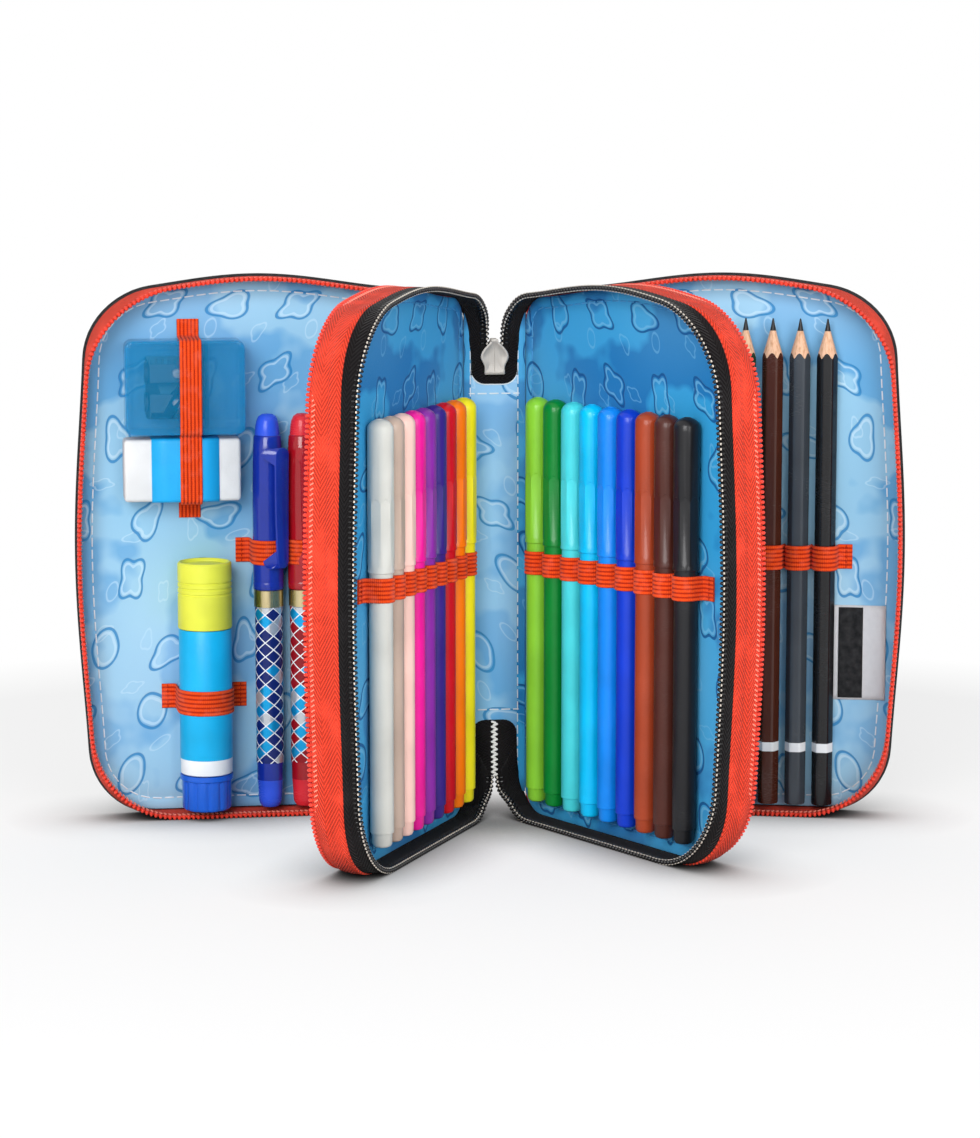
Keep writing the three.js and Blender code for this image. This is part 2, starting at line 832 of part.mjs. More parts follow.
function sharpenerBlockGeometry() {
  const block = sharpenerBlock;
  const back = looseGap + sharpenerBox.wall + seamGap;
  const front = back + block.depth;
  const blind = block.along - block.width / 2;
  const mouth = block.along + block.width / 2;
  const slotEnd = mouth - block.mouthRim;
  const axisDepth = front - block.holeDrop;
  const notchPitch = block.width / block.edgeNotches;
  const gripEdge = (z, inward) => Array.from({ length: 2 * block.edgeNotches + 1 }, (unused, step) =>
    new THREE.Vector2(blind + step * notchPitch / 2, z + (step % 2) * inward * block.notchDepth));
  const grip = [...gripEdge(block.foot, 1), ...gripEdge(block.foot + block.height, -1).reverse()];
  const cuts = [];
  const blades = [];
  [-1, 1].forEach((row) => {
    const z = block.foot + (block.height + row * block.holeSpacing) / 2;
    const holeLength = block.holeLength + cutOverrun;
    cuts.push(
      new THREE.CylinderGeometry(block.holeTipRadius, block.holeMouthRadius, holeLength, block.holeSides)
        .rotateZ(quarterTurn)
        .translate(mouth - block.holeLength + holeLength / 2, axisDepth, z),
      boxBetween(
        [slotEnd - block.slotLength, axisDepth, z - block.slotHeight],
        [slotEnd, front + cutOverrun, z],
      ),
    );
    const bladeFoot = z - block.slotHeight * block.bladeLapShare;
    const screwLength = block.bladeThickness + block.screwHeight;
    blades.push(
      boxBetween(
        [slotEnd - block.bladeLength, front - block.bladeThickness, bladeFoot],
        [slotEnd, front + block.bladeThickness, bladeFoot + block.bladeHeight],
      ),
      new THREE.CylinderGeometry(block.screwRadius, block.screwRadius, screwLength, block.screwSides)
        .translate(
          slotEnd - block.bladeLength + 2 * block.screwRadius,
          front + screwLength / 2,
          bladeFoot + block.bladeHeight / 2,
        ),
    );
  });
  return joined(cut(slab(grip, block.depth, back), ...cuts), ...blades);
}

// Eraser, with its card sleeve as a raised band round the middle

const eraserBack = looseGap + sleeve.thickness;
const sleeveFront = eraserBack + eraser.depth + sleeve.thickness;
const sleeveFoot = eraser.foot - sleeve.thickness;
const sleeveHead = eraser.foot + eraser.height + sleeve.thickness;

const eraserGeometry = () => joined(
  slab(
    roundedRectangle(eraser.along, eraser.foot, eraser.width, eraser.height, eraser.cornerRound, 1),
    eraser.depth,
    eraserBack,
  ),
  boxBetween(
    [sleeve.along - sleeve.width / 2, looseGap, sleeveFoot],
    [sleeve.along + sleeve.width / 2, sleeveFront, sleeveHead],
  ),
);

// Elastic loops

// The section of an elastic that arches over round pens and ends in two stitched tabs
function archOutline(pens, archSteps) {
  const { thickness, tabLength } = elastic;
  const low = seamGap;
  const points = [];
  const at = (x, y) => points.push(new THREE.Vector2(x, y));
  const last = pens.length - 1;
  const outer = pens.map(({ radius }) => radius + looseGap + thickness);
  at(pens[0].x - outer[0] - tabLength, low);
  at(pens[0].x - outer[0] - tabLength, low + thickness);
  at(pens[0].x - outer[0], low + thickness);
  pens.forEach((item, index) => {
    const reach = (neighbour) => (neighbour
      ? Math.acos(Math.min(1, Math.abs(neighbour.x - item.x) / 2 / outer[index]))
      : 0);
    const from = halfTurn - reach(pens[index - 1]);
    const to = reach(pens[index + 1]);
    const meets = index > 0 && from < halfTurn;
    for (let step = meets ? 1 : 0; step <= archSteps; step += 1) {
      const angle = from + (to - from) * step / archSteps;
      at(item.x + outer[index] * Math.cos(angle), item.y + outer[index] * Math.sin(angle));
    }
  });
  at(pens[last].x + outer[last], low + thickness);
  at(pens[last].x + outer[last] + tabLength, low + thickness);
  at(pens[last].x + outer[last] + tabLength, low);
  [...pens].reverse().forEach(({ x, y, radius }) => {
    const inner = radius + looseGap;
    at(x + inner, low);
    for (let step = 0; step <= archSteps; step += 1) {
      const angle = halfTurn * step / archSteps;
      at(x + inner * Math.cos(angle), y + inner * Math.sin(angle));
    }
    at(x - inner, low);
  });
  return points;
}

const archBand = (pens, height, middle, archSteps = elastic.archSteps) =>
  raised(archOutline(pens, archSteps), height, middle - height / 2);

// The strap that runs up over the eraser and the sharpener box
function strapGeometry() {
  const { thickness, tabLength } = elastic;
  const low = seamGap;
  const eraserFoot = sleeveFoot - looseGap;
  const eraserHead = sleeveHead + looseGap;
  const eraserFace = sleeveFront + looseGap;
  const boxFoot = sharpenerBox.foot - looseGap;
  const boxHead = sharpenerBox.foot + sharpenerBox.height + looseGap;
  const boxFace = boxFront + looseGap;
  const outline = [
    [eraserFoot - thickness - tabLength, low],
    [eraserFoot - thickness - tabLength, low + thickness],
    [eraserFoot - thickness, low + thickness],
    [eraserFoot - thickness, eraserFace + thickness],
    [boxFoot - thickness, eraserFace + thickness],
    [boxFoot - thickness, boxFace + thickness],
    [boxHead + thickness, boxFace + thickness],
    [boxHead + thickness, low + thickness],
    [boxHead + thickness + tabLength, low + thickness],
    [boxHead + thickness + tabLength, low],
    [boxHead, low],
    [boxHead, boxFace],
    [boxFoot, boxFace],
    [boxFoot, low],
    [eraserHead, low],
    [eraserHead, eraserFace],
    [eraserFoot, eraserFace],
    [eraserFoot, low],
  ].map(([z, y]) => new THREE.Vector2(z, y));
  return raised(outline, strap.width, -strap.width / 2)
    .rotateY(-quarterTurn)
    .translate(strap.along, 0, 0);
}

// The assembly: each leaf is a group on its hinge line, so turning a group opens or closes the case

const pencilCase = new THREE.Group();

function add(group, name, geometry, material) {
  const mesh = new THREE.Mesh(geometry, material);
  mesh.name = name;
  group.add(mesh);
  return mesh;
}

function hinge(parent, name, x, y, turn) {
  const group = new THREE.Group();
  group.name = name;
  group.position.set(x, y, 0);
  group.rotation.z = turn;
  parent.add(group);
  return group;
}

// A tray whose free side lies along -X is the mirror image of one whose free side lies along +X
function mirrored(geometry, side) {
  if (side > 0) return geometry;
  const flipped = (geometry.index ? geometry.clone() : mergeVertices(geometry.clone()));
  flipped.scale(-1, 1, 1);
  flipped.setIndex([...flipped.index.array].reverse());
  return flipped;
}

const addToTray = (tray, name, geometry, material) =>
  add(tray.group, name, mirrored(geometry, tray.side), material);

function addSlider(group, prefix) {
  add(group, `${prefix}_zip_slider`, sliderGeometry(), finishes.zinc);
  const mesh = add(group, `${prefix}_zip_pull`, pullGeometry(), finishes.zinc);
  mesh.position.set(0, pivot.y, pivot.z);
}

// The root is the middle strip: its inner face looks to the front
const spine = hinge(pencilCase, 'spine', 0, 0, spineTurn);
const middleWidth = 2 * trayDepth.middle;
const outerWidth = trayDepth.dividerBack + trayDepth.cover;
add(spine, 'middle_spine_strip', liningStrip(middleWidth), finishes.lining);
add(spine, 'middle_zip_head_end', zipHeadEnd(middleWidth), finishes.blackTape);
add(spine, 'middle_zip_foot_end', zipFootEnd(middleWidth), finishes.blackTape);
addSlider(spine, 'middle');

// One wing: a divider, the outer strip hinged on its back, and the cover hinged on that strip
function buildWing(name, side, outerOpening) {
  const turn = side > 0 ? halfTurn + quarterTurn - opening.middle / 2 : quarterTurn + opening.middle / 2;
  const front = {
    side,
    group: hinge(spine, `${name}_divider_hinge`, -side * trayDepth.middle, 0, turn),
  };
  addToTray(front, `${name}_divider`, dividerPanel, finishes.lining);
  addToTray(front, `middle_zip_${name}_half`, zipHalfGeometry(trayDepth.middle), finishes.blackTape);

  const back = { side: -side, group: hinge(front.group, '', 0, -leaf.dividerThickness, halfTurn) };
  addToTray(back, `${name}_zip_divider_half`, zipHalfGeometry(trayDepth.dividerBack), finishes.redTape);

  const gusset = hinge(back.group, `${name}_strip_hinge`, 0, 0, back.side * outerOpening / 2);
  const stripFrame = hinge(gusset, '', 0, outerWidth / 2, -side * quarterTurn);
  add(stripFrame, `${name}_spine_strip`, wholeStrip(outerWidth), finishes.cover);
  addSlider(stripFrame, name);

  const cover = {
    side: -back.side,
    group: hinge(gusset, `${name}_cover_hinge`, 0, outerWidth, halfTurn + back.side * outerOpening / 2),
  };
  addToTray(cover, `${name}_cover`, coverPanel, finishes.cover);
  addToTray(cover, `${name}_zip_cover_half`, zipHalfGeometry(trayDepth.cover), finishes.redTape);
  return { front, cover };
}

const left = buildWing('left', 1, opening.left);
const right = buildWing('right', -1, opening.right);

// Felt-tips in the two middle trays
function addFelts(tray, name) {
  const row = feltRow[name];
  const y = looseGap + felt.capDiameter / 2;
  const colours = Object.entries(feltColours[name]);
  const loops = colours.map(([colour, value], index) => {
    const x = row.first + index * row.pitch;
    const mesh = addToTray(tray, `felt_tip_${colour}`, feltGeometry(), finish(value, 0.35));
    mesh.position.set(tray.side * x, y, felt.foot);
    return { x, y, radius: felt.barrelDiameter / 2 };
  });
  addToTray(tray, `felt_elastic_${name}`,
    archBand(loops, elastic.feltHeight, elasticHeight.felt), finishes.elastic);
}
addFelts(left.front, 'left');
addFelts(right.front, 'right');

// Pencils on the right cover
const pencilDepth = looseGap + pencil.acrossCorners / 2;
const pencilLoops = Object.entries(pencilColours).map(([colour, value], index) => {
  const x = pencil.first + index * pencil.pitch;
  const mesh = addToTray(right.cover, `pencil_${colour}`, pencilGeometry(), finish(value, 0.4));
  mesh.position.set(right.cover.side * x, pencilDepth, pencil.foot);
  return { x, y: pencilDepth, radius: pencil.acrossCorners / 2 };
});
addToTray(right.cover, 'pencil_elastic',
  archBand(pencilLoops, elastic.penHeight, elasticHeight.pencils), finishes.elastic);

// Clip pens on the left cover
const penDepth = looseGap + pen.capDiameter / 2;
const penLoops = ['red', 'blue'].map((colour, index) => {
  const x = penRow.first + index * penRow.pitch;
  const material = finishes[`${colour}Pen`];
  const barrel = addToTray(left.cover, `${colour}_pen_barrel`, penBarrelGeometry(), material);
  barrel.position.set(x, penDepth, pen.foot);
  const cap = addToTray(left.cover, `${colour}_pen_cap`, penCapGeometry(), material);
  cap.position.set(x, penDepth, pen.foot + penCapFoot);
  cap.rotation.z = penRow.clipTurn[colour];
  return { x, y: penDepth, radius: pen.capDiameter / 2 };
});
addToTray(left.cover, 'pen_elastic',
  archBand(penLoops, elastic.penHeight, elasticHeight.pens), finishes.elastic);

// Glue stick on the left cover
const glueDepth = looseGap + glue.capDiameter / 2;
[
  ['glue_knob', glueKnobGeometry(), finishes.glueKnob, 0],
  ['glue_barrel', glueBarrelGeometry(), finishes.glueBarrel, glueBarrelFoot],
  ['glue_cap', glueCapGeometry(), finishes.glueCap, glueCapFoot],
].forEach(([name, geometry, material, foot]) => {
  const mesh = addToTray(left.cover, name, geometry, material);
  mesh.position.set(glue.along, glueDepth, glue.foot + foot);
});
addToTray(left.cover, 'glue_elastic', archBand(
  [{ x: glue.along, y: glueDepth, radius: glue.barrelDiameter / 2 }],
  elastic.glueHeight,
  elasticHeight.glue,
  elastic.wideArchSteps,
), finishes.elastic);

// Sharpener and eraser under their strap
addToTray(left.cover, 'sharpener_box', sharpenerBaseGeometry(), finishes.clearBlue);
addToTray(left.cover, 'sharpener_box_lid', sharpenerLidGeometry(), finishes.clearBlue);
addToTray(left.cover, 'sharpener_block', sharpenerBlockGeometry(), finishes.zinc);
addToTray(left.cover, 'eraser', eraserGeometry(), finishes.eraser);
addToTray(left.cover, 'sharpener_strap', strapGeometry(), finishes.elastic);

// The origin is the middle of the footprint
pencilCase.updateMatrixWorld(true);
const footprint = new THREE.Box3().setFromObject(pencilCase, true);
const centre = footprint.getCenter(new THREE.Vector3());
spine.position.set(-centre.x, -centre.y, 0);

export default pencilCase;
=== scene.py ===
"""Looks of a filled pencil case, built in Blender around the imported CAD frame.

Each class is one sub-assembly of the case. Its fields are sizes in millimetres, and its meshes are made
in a tray's own frame: X runs along the leaf away from the spine, Y from the lining into the compartment,
and Z up. A finished mesh is then set in place in metres, so every object stays at the origin.
"""

from __future__ import annotations

import json
import logging
import math
from dataclasses import dataclass, field
from enum import Enum
from typing import Callable, Sequence

import bmesh
import bpy
from bmesh.types import BMEdge, BMesh, BMVert
from bpy.types import Material, Node, NodeSocket, NodeTree, Object
from mathutils import Matrix, Vector
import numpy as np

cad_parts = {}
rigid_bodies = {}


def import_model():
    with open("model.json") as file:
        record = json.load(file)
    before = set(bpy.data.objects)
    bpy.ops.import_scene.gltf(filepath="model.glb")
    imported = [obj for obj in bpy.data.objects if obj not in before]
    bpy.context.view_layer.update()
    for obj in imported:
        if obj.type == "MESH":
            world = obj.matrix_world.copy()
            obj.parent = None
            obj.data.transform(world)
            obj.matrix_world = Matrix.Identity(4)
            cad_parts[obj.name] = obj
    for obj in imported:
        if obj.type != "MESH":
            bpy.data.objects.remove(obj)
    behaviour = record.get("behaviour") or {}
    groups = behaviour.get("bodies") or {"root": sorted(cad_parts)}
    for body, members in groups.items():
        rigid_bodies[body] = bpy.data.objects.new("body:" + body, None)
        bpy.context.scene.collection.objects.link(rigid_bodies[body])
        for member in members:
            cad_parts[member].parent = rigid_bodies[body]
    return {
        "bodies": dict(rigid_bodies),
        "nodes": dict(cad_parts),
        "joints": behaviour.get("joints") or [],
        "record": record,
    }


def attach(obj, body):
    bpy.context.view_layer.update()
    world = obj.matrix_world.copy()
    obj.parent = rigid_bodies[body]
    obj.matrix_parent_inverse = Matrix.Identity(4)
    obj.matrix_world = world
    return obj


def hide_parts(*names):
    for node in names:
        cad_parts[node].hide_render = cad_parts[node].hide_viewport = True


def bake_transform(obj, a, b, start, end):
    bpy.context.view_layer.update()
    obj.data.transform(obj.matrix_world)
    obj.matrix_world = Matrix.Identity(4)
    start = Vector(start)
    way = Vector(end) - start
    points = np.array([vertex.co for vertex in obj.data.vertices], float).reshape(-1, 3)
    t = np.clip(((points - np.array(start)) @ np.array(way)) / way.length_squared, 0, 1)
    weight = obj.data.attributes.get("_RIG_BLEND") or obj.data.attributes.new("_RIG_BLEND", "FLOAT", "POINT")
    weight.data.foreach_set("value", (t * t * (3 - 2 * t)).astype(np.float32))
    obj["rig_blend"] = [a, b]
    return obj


LOG = logging.getLogger("pencil_case")
MM = 0.001
FULL_TURN = 2 * math.pi
INWARD = Vector((0, 1, 0))
UPWARD = Vector((0, 0, 1))
Colour = tuple[float, float, float, float]
Profile = Sequence[tuple[float, float]]


def rgb(code: str, share: float = 1.0, lift: float = 0.0) -> Colour:
    """Turns a six-digit hex code into a linear colour, made deeper or paler.

    Args:
        code: Red, green and blue as hex digits.
        share: What each part is multiplied by.
        lift: What is added to each part.

    Returns:
        The linear colour with full alpha.
    """
    parts = [int(code[at:at + 2], 16) / 255 for at in (0, 2, 4)]
    linear = [part / 12.92 if part <= 0.04045 else ((part + 0.055) / 1.055) ** 2.4 for part in parts]
    return (*(part * share + lift for part in linear), 1.0)


# Shader graphs


class Graph:
    """Adds nodes to one shader tree and joins them."""

    shader: Node

    def __init__(self, tree: NodeTree) -> None:
        """Keeps the tree that nodes are added to."""
        self.tree = tree

    @classmethod
    def of(cls, owner: Material | bpy.types.World) -> Graph:
        """Empties the tree of a material or world.

        Args:
            owner: The material or world.

        Returns:
            Its graph.
        """
        owner.use_nodes = True
        owner.node_tree.nodes.clear()
        return cls(owner.node_tree)

    def add(self, kind: str, inputs: dict | None = None, **settings: object) -> Node:
        """Adds one node.

        Args:
            kind: The node's type name.
            inputs: Values or sockets for its inputs, by name or number.
            **settings: Attributes to set before the inputs.

        Returns:
            The new node.
        """
        node = self.tree.nodes.new(kind)
        for key, value in settings.items():
            setattr(node, key, value)
        for key, value in (inputs or {}).items():
            if isinstance(value, NodeSocket):
                self.tree.links.new(value, node.inputs[key])
            else:
                node.inputs[key].default_value = value
        return node

    def math(self, operation: str, first: object, second: object = 0.0) -> NodeSocket:
        """Adds a Math node and returns its result."""
        return self.add("ShaderNodeMath", {0: first, 1: second}, operation=operation).outputs[0]

    def plus(self, first: object, second: object) -> NodeSocket:
        """Adds two values."""
        return self.math("ADD", first, second)

    def minus(self, first: object, second: object) -> NodeSocket:
        """Takes the second value from the first."""
        return self.math("SUBTRACT", first, second)

    def times(self, first: object, second: object) -> NodeSocket:
        """Multiplies two values."""
        return self.math("MULTIPLY", first, second)

    def over(self, first: object, second: object) -> NodeSocket:
        """Divides the first value by the second."""
        return self.math("DIVIDE", first, second)

    def mix(self, share: object, first: object, second: object) -> NodeSocket:
        """Mixes two colours and returns the result."""
        return self.add("ShaderNodeMix", {0: share, 6: first, 7: second}, data_type="RGBA").outputs[2]

    def band(self, value: object, low: float, high: float) -> NodeSocket:
        """Maps a value from low..high to 0..1, held at both ends."""
        return self.add("ShaderNodeMapRange", {0: value, 1: low, 2: high}).outputs[0]

    def noise(self, vector: object, scale: object, detail: float = 2.0) -> NodeSocket:
        """Adds a Noise Texture and returns its factor."""
        return self.add("ShaderNodeTexNoise", {"Vector": vector, "Scale": scale, "Detail": detail}).outputs[0]

    def stretch(self, vector: object, along: float) -> NodeSocket:
        """Scales a vector along Z alone."""
        return self.add("ShaderNodeMapping", {0: vector, 3: (1.0, 1.0, along)}).outputs[0]

    def split(self, vector: object) -> tuple[NodeSocket, ...]:
        """Splits a vector into its three parts."""
        return tuple(self.add("ShaderNodeSeparateXYZ", {0: vector}).outputs)

    def join(self, x: object, y: object) -> NodeSocket:
        """Joins X and Y parts into a vector."""
        return self.add("ShaderNodeCombineXYZ", {"X": x, "Y": y}).outputs[0]

    def chance(self, x: object, y: object) -> Node:
        """Adds a chance value and colour for each whole X and Y."""
        return self.add("ShaderNodeTexWhiteNoise", {"Vector": self.join(x, y)}, noise_dimensions="2D")

    def solid(self) -> NodeSocket:
        """Where a pattern through the solid is read: the object's own place in metres."""
        return self.add("ShaderNodeTexCoord").outputs["Object"]

    def surface(self) -> NodeSocket:
        """Where a pattern that follows the surface is read: the piece's own UV map in metres."""
        return self.add("ShaderNodeUVMap", uv_map="Surface").outputs[0]

    def feed(self, name: str, value: NodeSocket) -> None:
        """Joins a value to an input of the material's shader."""
        self.tree.links.new(value, self.shader.inputs[name])

    def relief(self, height: object, depth: float) -> None:
        """Feeds a height, with its depth in millimetres, into the shader's normal."""
        bump = self.add("ShaderNodeBump", {"Height": height, "Distance": depth * MM, "Strength": 1.0})
        self.feed("Normal", bump.outputs[0])


class Effect(Enum):
    """Shader node groups that several finishes share, each named as its method in Effects."""

    GRAIN = "grain"
    WEAVE = "weave"
    TWILL = "herringbone"
    WEAR = "wear"
    CLOUDS = "clouds"
    DOODLES = "doodles"
    FACETS = "facets"


class Effects:
    """Builds each shared node group once."""

    def __init__(self) -> None:
        """Starts with no group built."""
        self.trees: dict[Effect, NodeTree] = {}

    def start(self, effect: Effect, outputs: Sequence[str], **values: float) -> tuple[Graph, dict[str, NodeSocket]]:
        """Starts a node group with a vector input.

        Args:
            effect: The effect that the group makes.
            outputs: Names of its number outputs.
            **values: Names and defaults of its number inputs.

        Returns:
            The group's graph and its input sockets by name.
        """
        tree = bpy.data.node_groups.new(effect.value, "ShaderNodeTree")
        tree.interface.new_socket("Vector", in_out="INPUT", socket_type="NodeSocketVector")
        for name, value in values.items():
            socket = tree.interface.new_socket(name, in_out="INPUT", socket_type="NodeSocketFloat")
            socket.default_value = value
        for name in outputs:
            tree.interface.new_socket(name, in_out="OUTPUT", socket_type="NodeSocketFloat")
        self.trees[effect] = tree
        return Graph(tree), {socket.name: socket for socket in tree.nodes.new("NodeGroupInput").outputs}

    def use(self, graph: Graph, effect: Effect, vector: object, **values: float) -> Sequence[NodeSocket]:
        """Places a shared group in a material.

        Args:
            graph: The material's graph.
            effect: The group wanted.
            vector: What it reads.
            **values: Its number inputs.

        Returns:
            The group's outputs.
        """
        if effect not in self.trees:
            getattr(self, effect.value)()
        return graph.add("ShaderNodeGroup", {"Vector": vector, **values}, node_tree=self.trees[effect]).outputs

    def grain(self) -> None:
        """Fine moulded or cast grain with a slow change over the piece."""
        graph, given = self.start(Effect.GRAIN, ("Height", "Mask"), Scale=900.0)
        fine = graph.noise(given["Vector"], given["Scale"])
        broad = graph.noise(given["Vector"], graph.times(given["Scale"], 0.06))
        graph.add("NodeGroupOutput", {"Height": fine, "Mask": broad})

    def weave(self) -> None:
        """Plain weave of fine threads over and under each other."""
        graph, given = self.start(Effect.WEAVE, ("Height", "Mask"), Pitch=0.0005)
        turn = graph.over(FULL_TURN, given["Pitch"])
        waves = [graph.math("SINE", graph.times(part, turn)) for part in graph.split(given["Vector"])[:2]]
        height = graph.band(graph.times(*waves), -1, 1)
        graph.add("NodeGroupOutput", {"Height": height, "Mask": graph.noise(given["Vector"], 400, 3)})

    def herringbone(self) -> None:
        """Herringbone of a zip tape: slanted ribs that turn back at each column."""
        graph, given = self.start(
            Effect.TWILL, ("Height", "Mask"), Pitch=0.00195, Column=0.0052, Lead=0.0036, Slope=1.9,
        )
        run, rise, _ = graph.split(given["Vector"])
        zigzag = graph.math("PINGPONG", graph.plus(rise, given["Lead"]), given["Column"])
        phase = graph.over(graph.minus(run, graph.times(zigzag, given["Slope"])), given["Pitch"])
        ribs = graph.band(graph.math("SINE", graph.times(phase, FULL_TURN)), -1, 1)
        turned = graph.math("PINGPONG", graph.over(zigzag, given["Column"]), 0.5)
        edge = graph.band(turned, -0.03, 0.03)
        graph.add("NodeGroupOutput", {"Height": graph.times(ribs, edge), "Mask": edge})

    def wear(self) -> None:
        """Scuffs and dust: soft patches broken up by fine scratches."""
        graph, given = self.start(Effect.WEAR, ("Mask",), Scale=60.0)
        patches = graph.band(graph.noise(given["Vector"], given["Scale"], 4.0), 0.5, 0.75)
        scratches = graph.band(graph.noise(graph.stretch(given["Vector"], 9.0), 700, 2), 0.45, 0.7)
        graph.add("NodeGroupOutput", {"Mask": graph.times(patches, scratches)})

    def clouds(self) -> None:
        """Soft-edged cloud shapes in two tones."""
        graph, given = self.start(Effect.CLOUDS, ("Mask", "Haze"), Scale=26.0)
        puffs = graph.add("ShaderNodeTexNoise", {
            "Vector": given["Vector"], "Scale": given["Scale"], "Detail": 3.0, "Roughness": 0.45,
        })
        mask = graph.band(puffs.outputs[0], 0.485, 0.53)
        haze = graph.band(graph.noise(given["Vector"], 11, 1), 0.35, 0.65)
        graph.add("NodeGroupOutput", {"Mask": mask, "Haze": haze})

    def doodles(self) -> None:
        """Outlined blobs and blossoms strewn in a loose grid, one in each cell, each with a painted highlight line just
        inside its outline.
        """
        graph, given = self.start(
            Effect.DOODLES, ("Line", "PaintedHighlight"), Cell=0.025, Size=0.31, Stretch=1.75, Line=0.03,
        )
        flat = graph.add("ShaderNodeVectorMath", {0: given["Vector"], 1: (1.0, 1.0, 0.0)}, operation="MULTIPLY")
        grid = {0: flat.outputs[0], 3: graph.over(1.0, given["Cell"])}
        across, up, _ = graph.split(graph.add("ShaderNodeVectorMath", grid, operation="SCALE").outputs[0])
        row = graph.math("FLOOR", up)
        shifted = graph.plus(across, graph.times(row, 0.37))
        chance = graph.chance(graph.math("FLOOR", shifted), row).outputs["Color"]
        spin, lobes, place = graph.add("ShaderNodeSeparateColor", {0: chance}).outputs
        jitter = graph.times(graph.minus(place, 0.5), 0.22)
        x = graph.minus(graph.math("FRACT", shifted), graph.plus(jitter, 0.5))
        y = graph.minus(graph.math("FRACT", up), graph.minus(0.5, jitter))
        turn = {"Vector": graph.join(x, y), "Angle": graph.plus(graph.times(spin, 1.5), 0.1)}
        turned = graph.add("ShaderNodeVectorRotate", turn, rotation_type="Z_AXIS").outputs[0]
        x, y, _ = graph.split(turned)
        y = graph.times(y, given["Stretch"])
        reach = graph.math("SQRT", graph.plus(graph.times(x, x), graph.times(y, y)))
        count = graph.plus(graph.math("FLOOR", graph.times(lobes, 3.0)), 2.0)
        angle = graph.plus(graph.times(graph.math("ARCTAN2", y, x), count), graph.times(spin, 6.0))
        edge = graph.times(given["Size"], graph.plus(graph.times(graph.math("SINE", angle), 0.17), 1.0))
        gap = graph.minus(reach, edge)
        results = {}
        # The second line, just inside the outline, is a painted highlight beside the sunk outline.
        for name, shift in (("Line", 0.0), ("PaintedHighlight", 0.075)):
            share = graph.over(graph.math("ABSOLUTE", graph.plus(gap, shift)), given["Line"])
            results[name] = graph.minus(1.0, graph.band(share, 0.6, 1.0))
        graph.add("NodeGroupOutput", results)

    def facets(self) -> None:
        """A lattice of slanted diamonds with fine outlines, each with its own chance value."""
        graph, given = self.start(Effect.FACETS, ("Line", "Chance"), Width=0.0062, Height=0.0052)
        around, up, _ = graph.split(given["Vector"])
        sides = graph.over(around, given["Width"]), graph.over(up, given["Height"])
        axes = [graph.plus(*sides), graph.minus(*sides)]
        cells = [graph.math("FLOOR", axis) for axis in axes]
        lines = [graph.minus(1.0, graph.band(graph.math("PINGPONG", axis, 0.5), 0.03, 0.06)) for axis in axes]
        chance = graph.chance(*cells).outputs["Value"]
        graph.add("NodeGroupOutput", {"Line": graph.math("MAXIMUM", *lines), "Chance": chance})


EFFECTS = Effects()


# Finishes


@dataclass(frozen=True)
class Finish:
    """A plain moulded or painted finish, and what every other finish starts from."""

    name: str
    colour: str
    roughness: float = 0.4
    metallic: float = 0.0
    coat: float = 0.0
    sheen: float = 0.0
    specular: float = 0.32
    bump: float = 0.06

    def material(self) -> Material:
        """Gives the finish's material, built at its first use.

        Returns:
            The material.
        """
        made = bpy.data.materials.get(self.name)
        if not made:
            made = bpy.data.materials.new(self.name)
            graph = Graph.of(made)
            graph.shader = graph.add("ShaderNodeBsdfPrincipled", {
                "Roughness": self.roughness, "Metallic": self.metallic, "Coat Weight": self.coat,
                "Coat Roughness": 0.08, "Sheen Weight": self.sheen, "Specular IOR Level": self.specular, "IOR": 1.45,
            })
            graph.add("ShaderNodeOutputMaterial", {"Surface": graph.shader.outputs[0]})
            self.dress(graph)
        return made

    def tone(self, share: float = 1.0, lift: float = 0.0) -> Colour:
        """The finish's colour, made deeper or paler."""
        return rgb(self.colour, share, lift)

    def dress(self, graph: Graph) -> None:
        """Adds grain, a slow change of tone and fine scuffs.

        Args:
            graph: The material's graph.
        """
        vector = graph.solid()
        height, slow = EFFECTS.use(graph, Effect.GRAIN, vector)
        wear = EFFECTS.use(graph, Effect.WEAR, vector)[0]
        toned = graph.mix(graph.band(slow, 0.35, 0.65), self.tone(0.86), self.tone())
        graph.feed("Base Color", graph.mix(graph.times(wear, 0.25), toned, self.tone(0.9, 0.06)))
        graph.feed("Roughness", graph.plus(graph.times(wear, 0.2), self.roughness))
        graph.relief(height, self.bump)


@dataclass(frozen=True)
class Cloth(Finish):
    """Plain woven cloth in one colour."""

    pitch: float = 0.55
    roughness: float = 0.8
    sheen: float = 0.06
    specular: float = 0.12
    bump: float = 0.12

    def dress(self, graph: Graph) -> None:
        """Adds the weave, uneven threads and wear.

        Args:
            graph: The material's graph.
        """
        height, slubs = EFFECTS.use(graph, Effect.WEAVE, graph.surface(), Pitch=self.pitch * MM)
        wear = EFFECTS.use(graph, Effect.WEAR, graph.solid(), Scale=40.0)[0]
        threads = graph.mix(height, self.tone(0.62), self.tone())
        pale = self.tone(0.85, 0.03)
        uneven = graph.mix(graph.band(slubs, 0.3, 0.8), threads, pale)
        graph.feed("Base Color", graph.mix(graph.times(wear, 0.3), uneven, pale))
        graph.relief(height, self.bump)


@dataclass(frozen=True)
class Tape(Cloth):
    """Zip tape with a herringbone weave."""

    groove_shade_share: float = 0.42
    roughness: float = 0.75
    specular: float = 0.08
    bump: float = 0.35

    def dress(self, graph: Graph) -> None:
        """Adds slanted ribs that turn back in columns, with painted shade in the low grooves between them.

        Args:
            graph: The material's graph.
        """
        height = EFFECTS.use(graph, Effect.TWILL, graph.surface())[0]
        uneven = graph.noise(graph.solid(), 90, 3)
        # Painted shade: the grooves of the weave are darkened to the groove shade share of the colour.
        ribs = graph.mix(height, self.tone(self.groove_shade_share), self.tone())
        graph.feed("Base Color", graph.mix(graph.band(uneven, 0.5, 0.8), ribs, self.tone(1.08, 0.003)))
        graph.relief(height, self.bump)


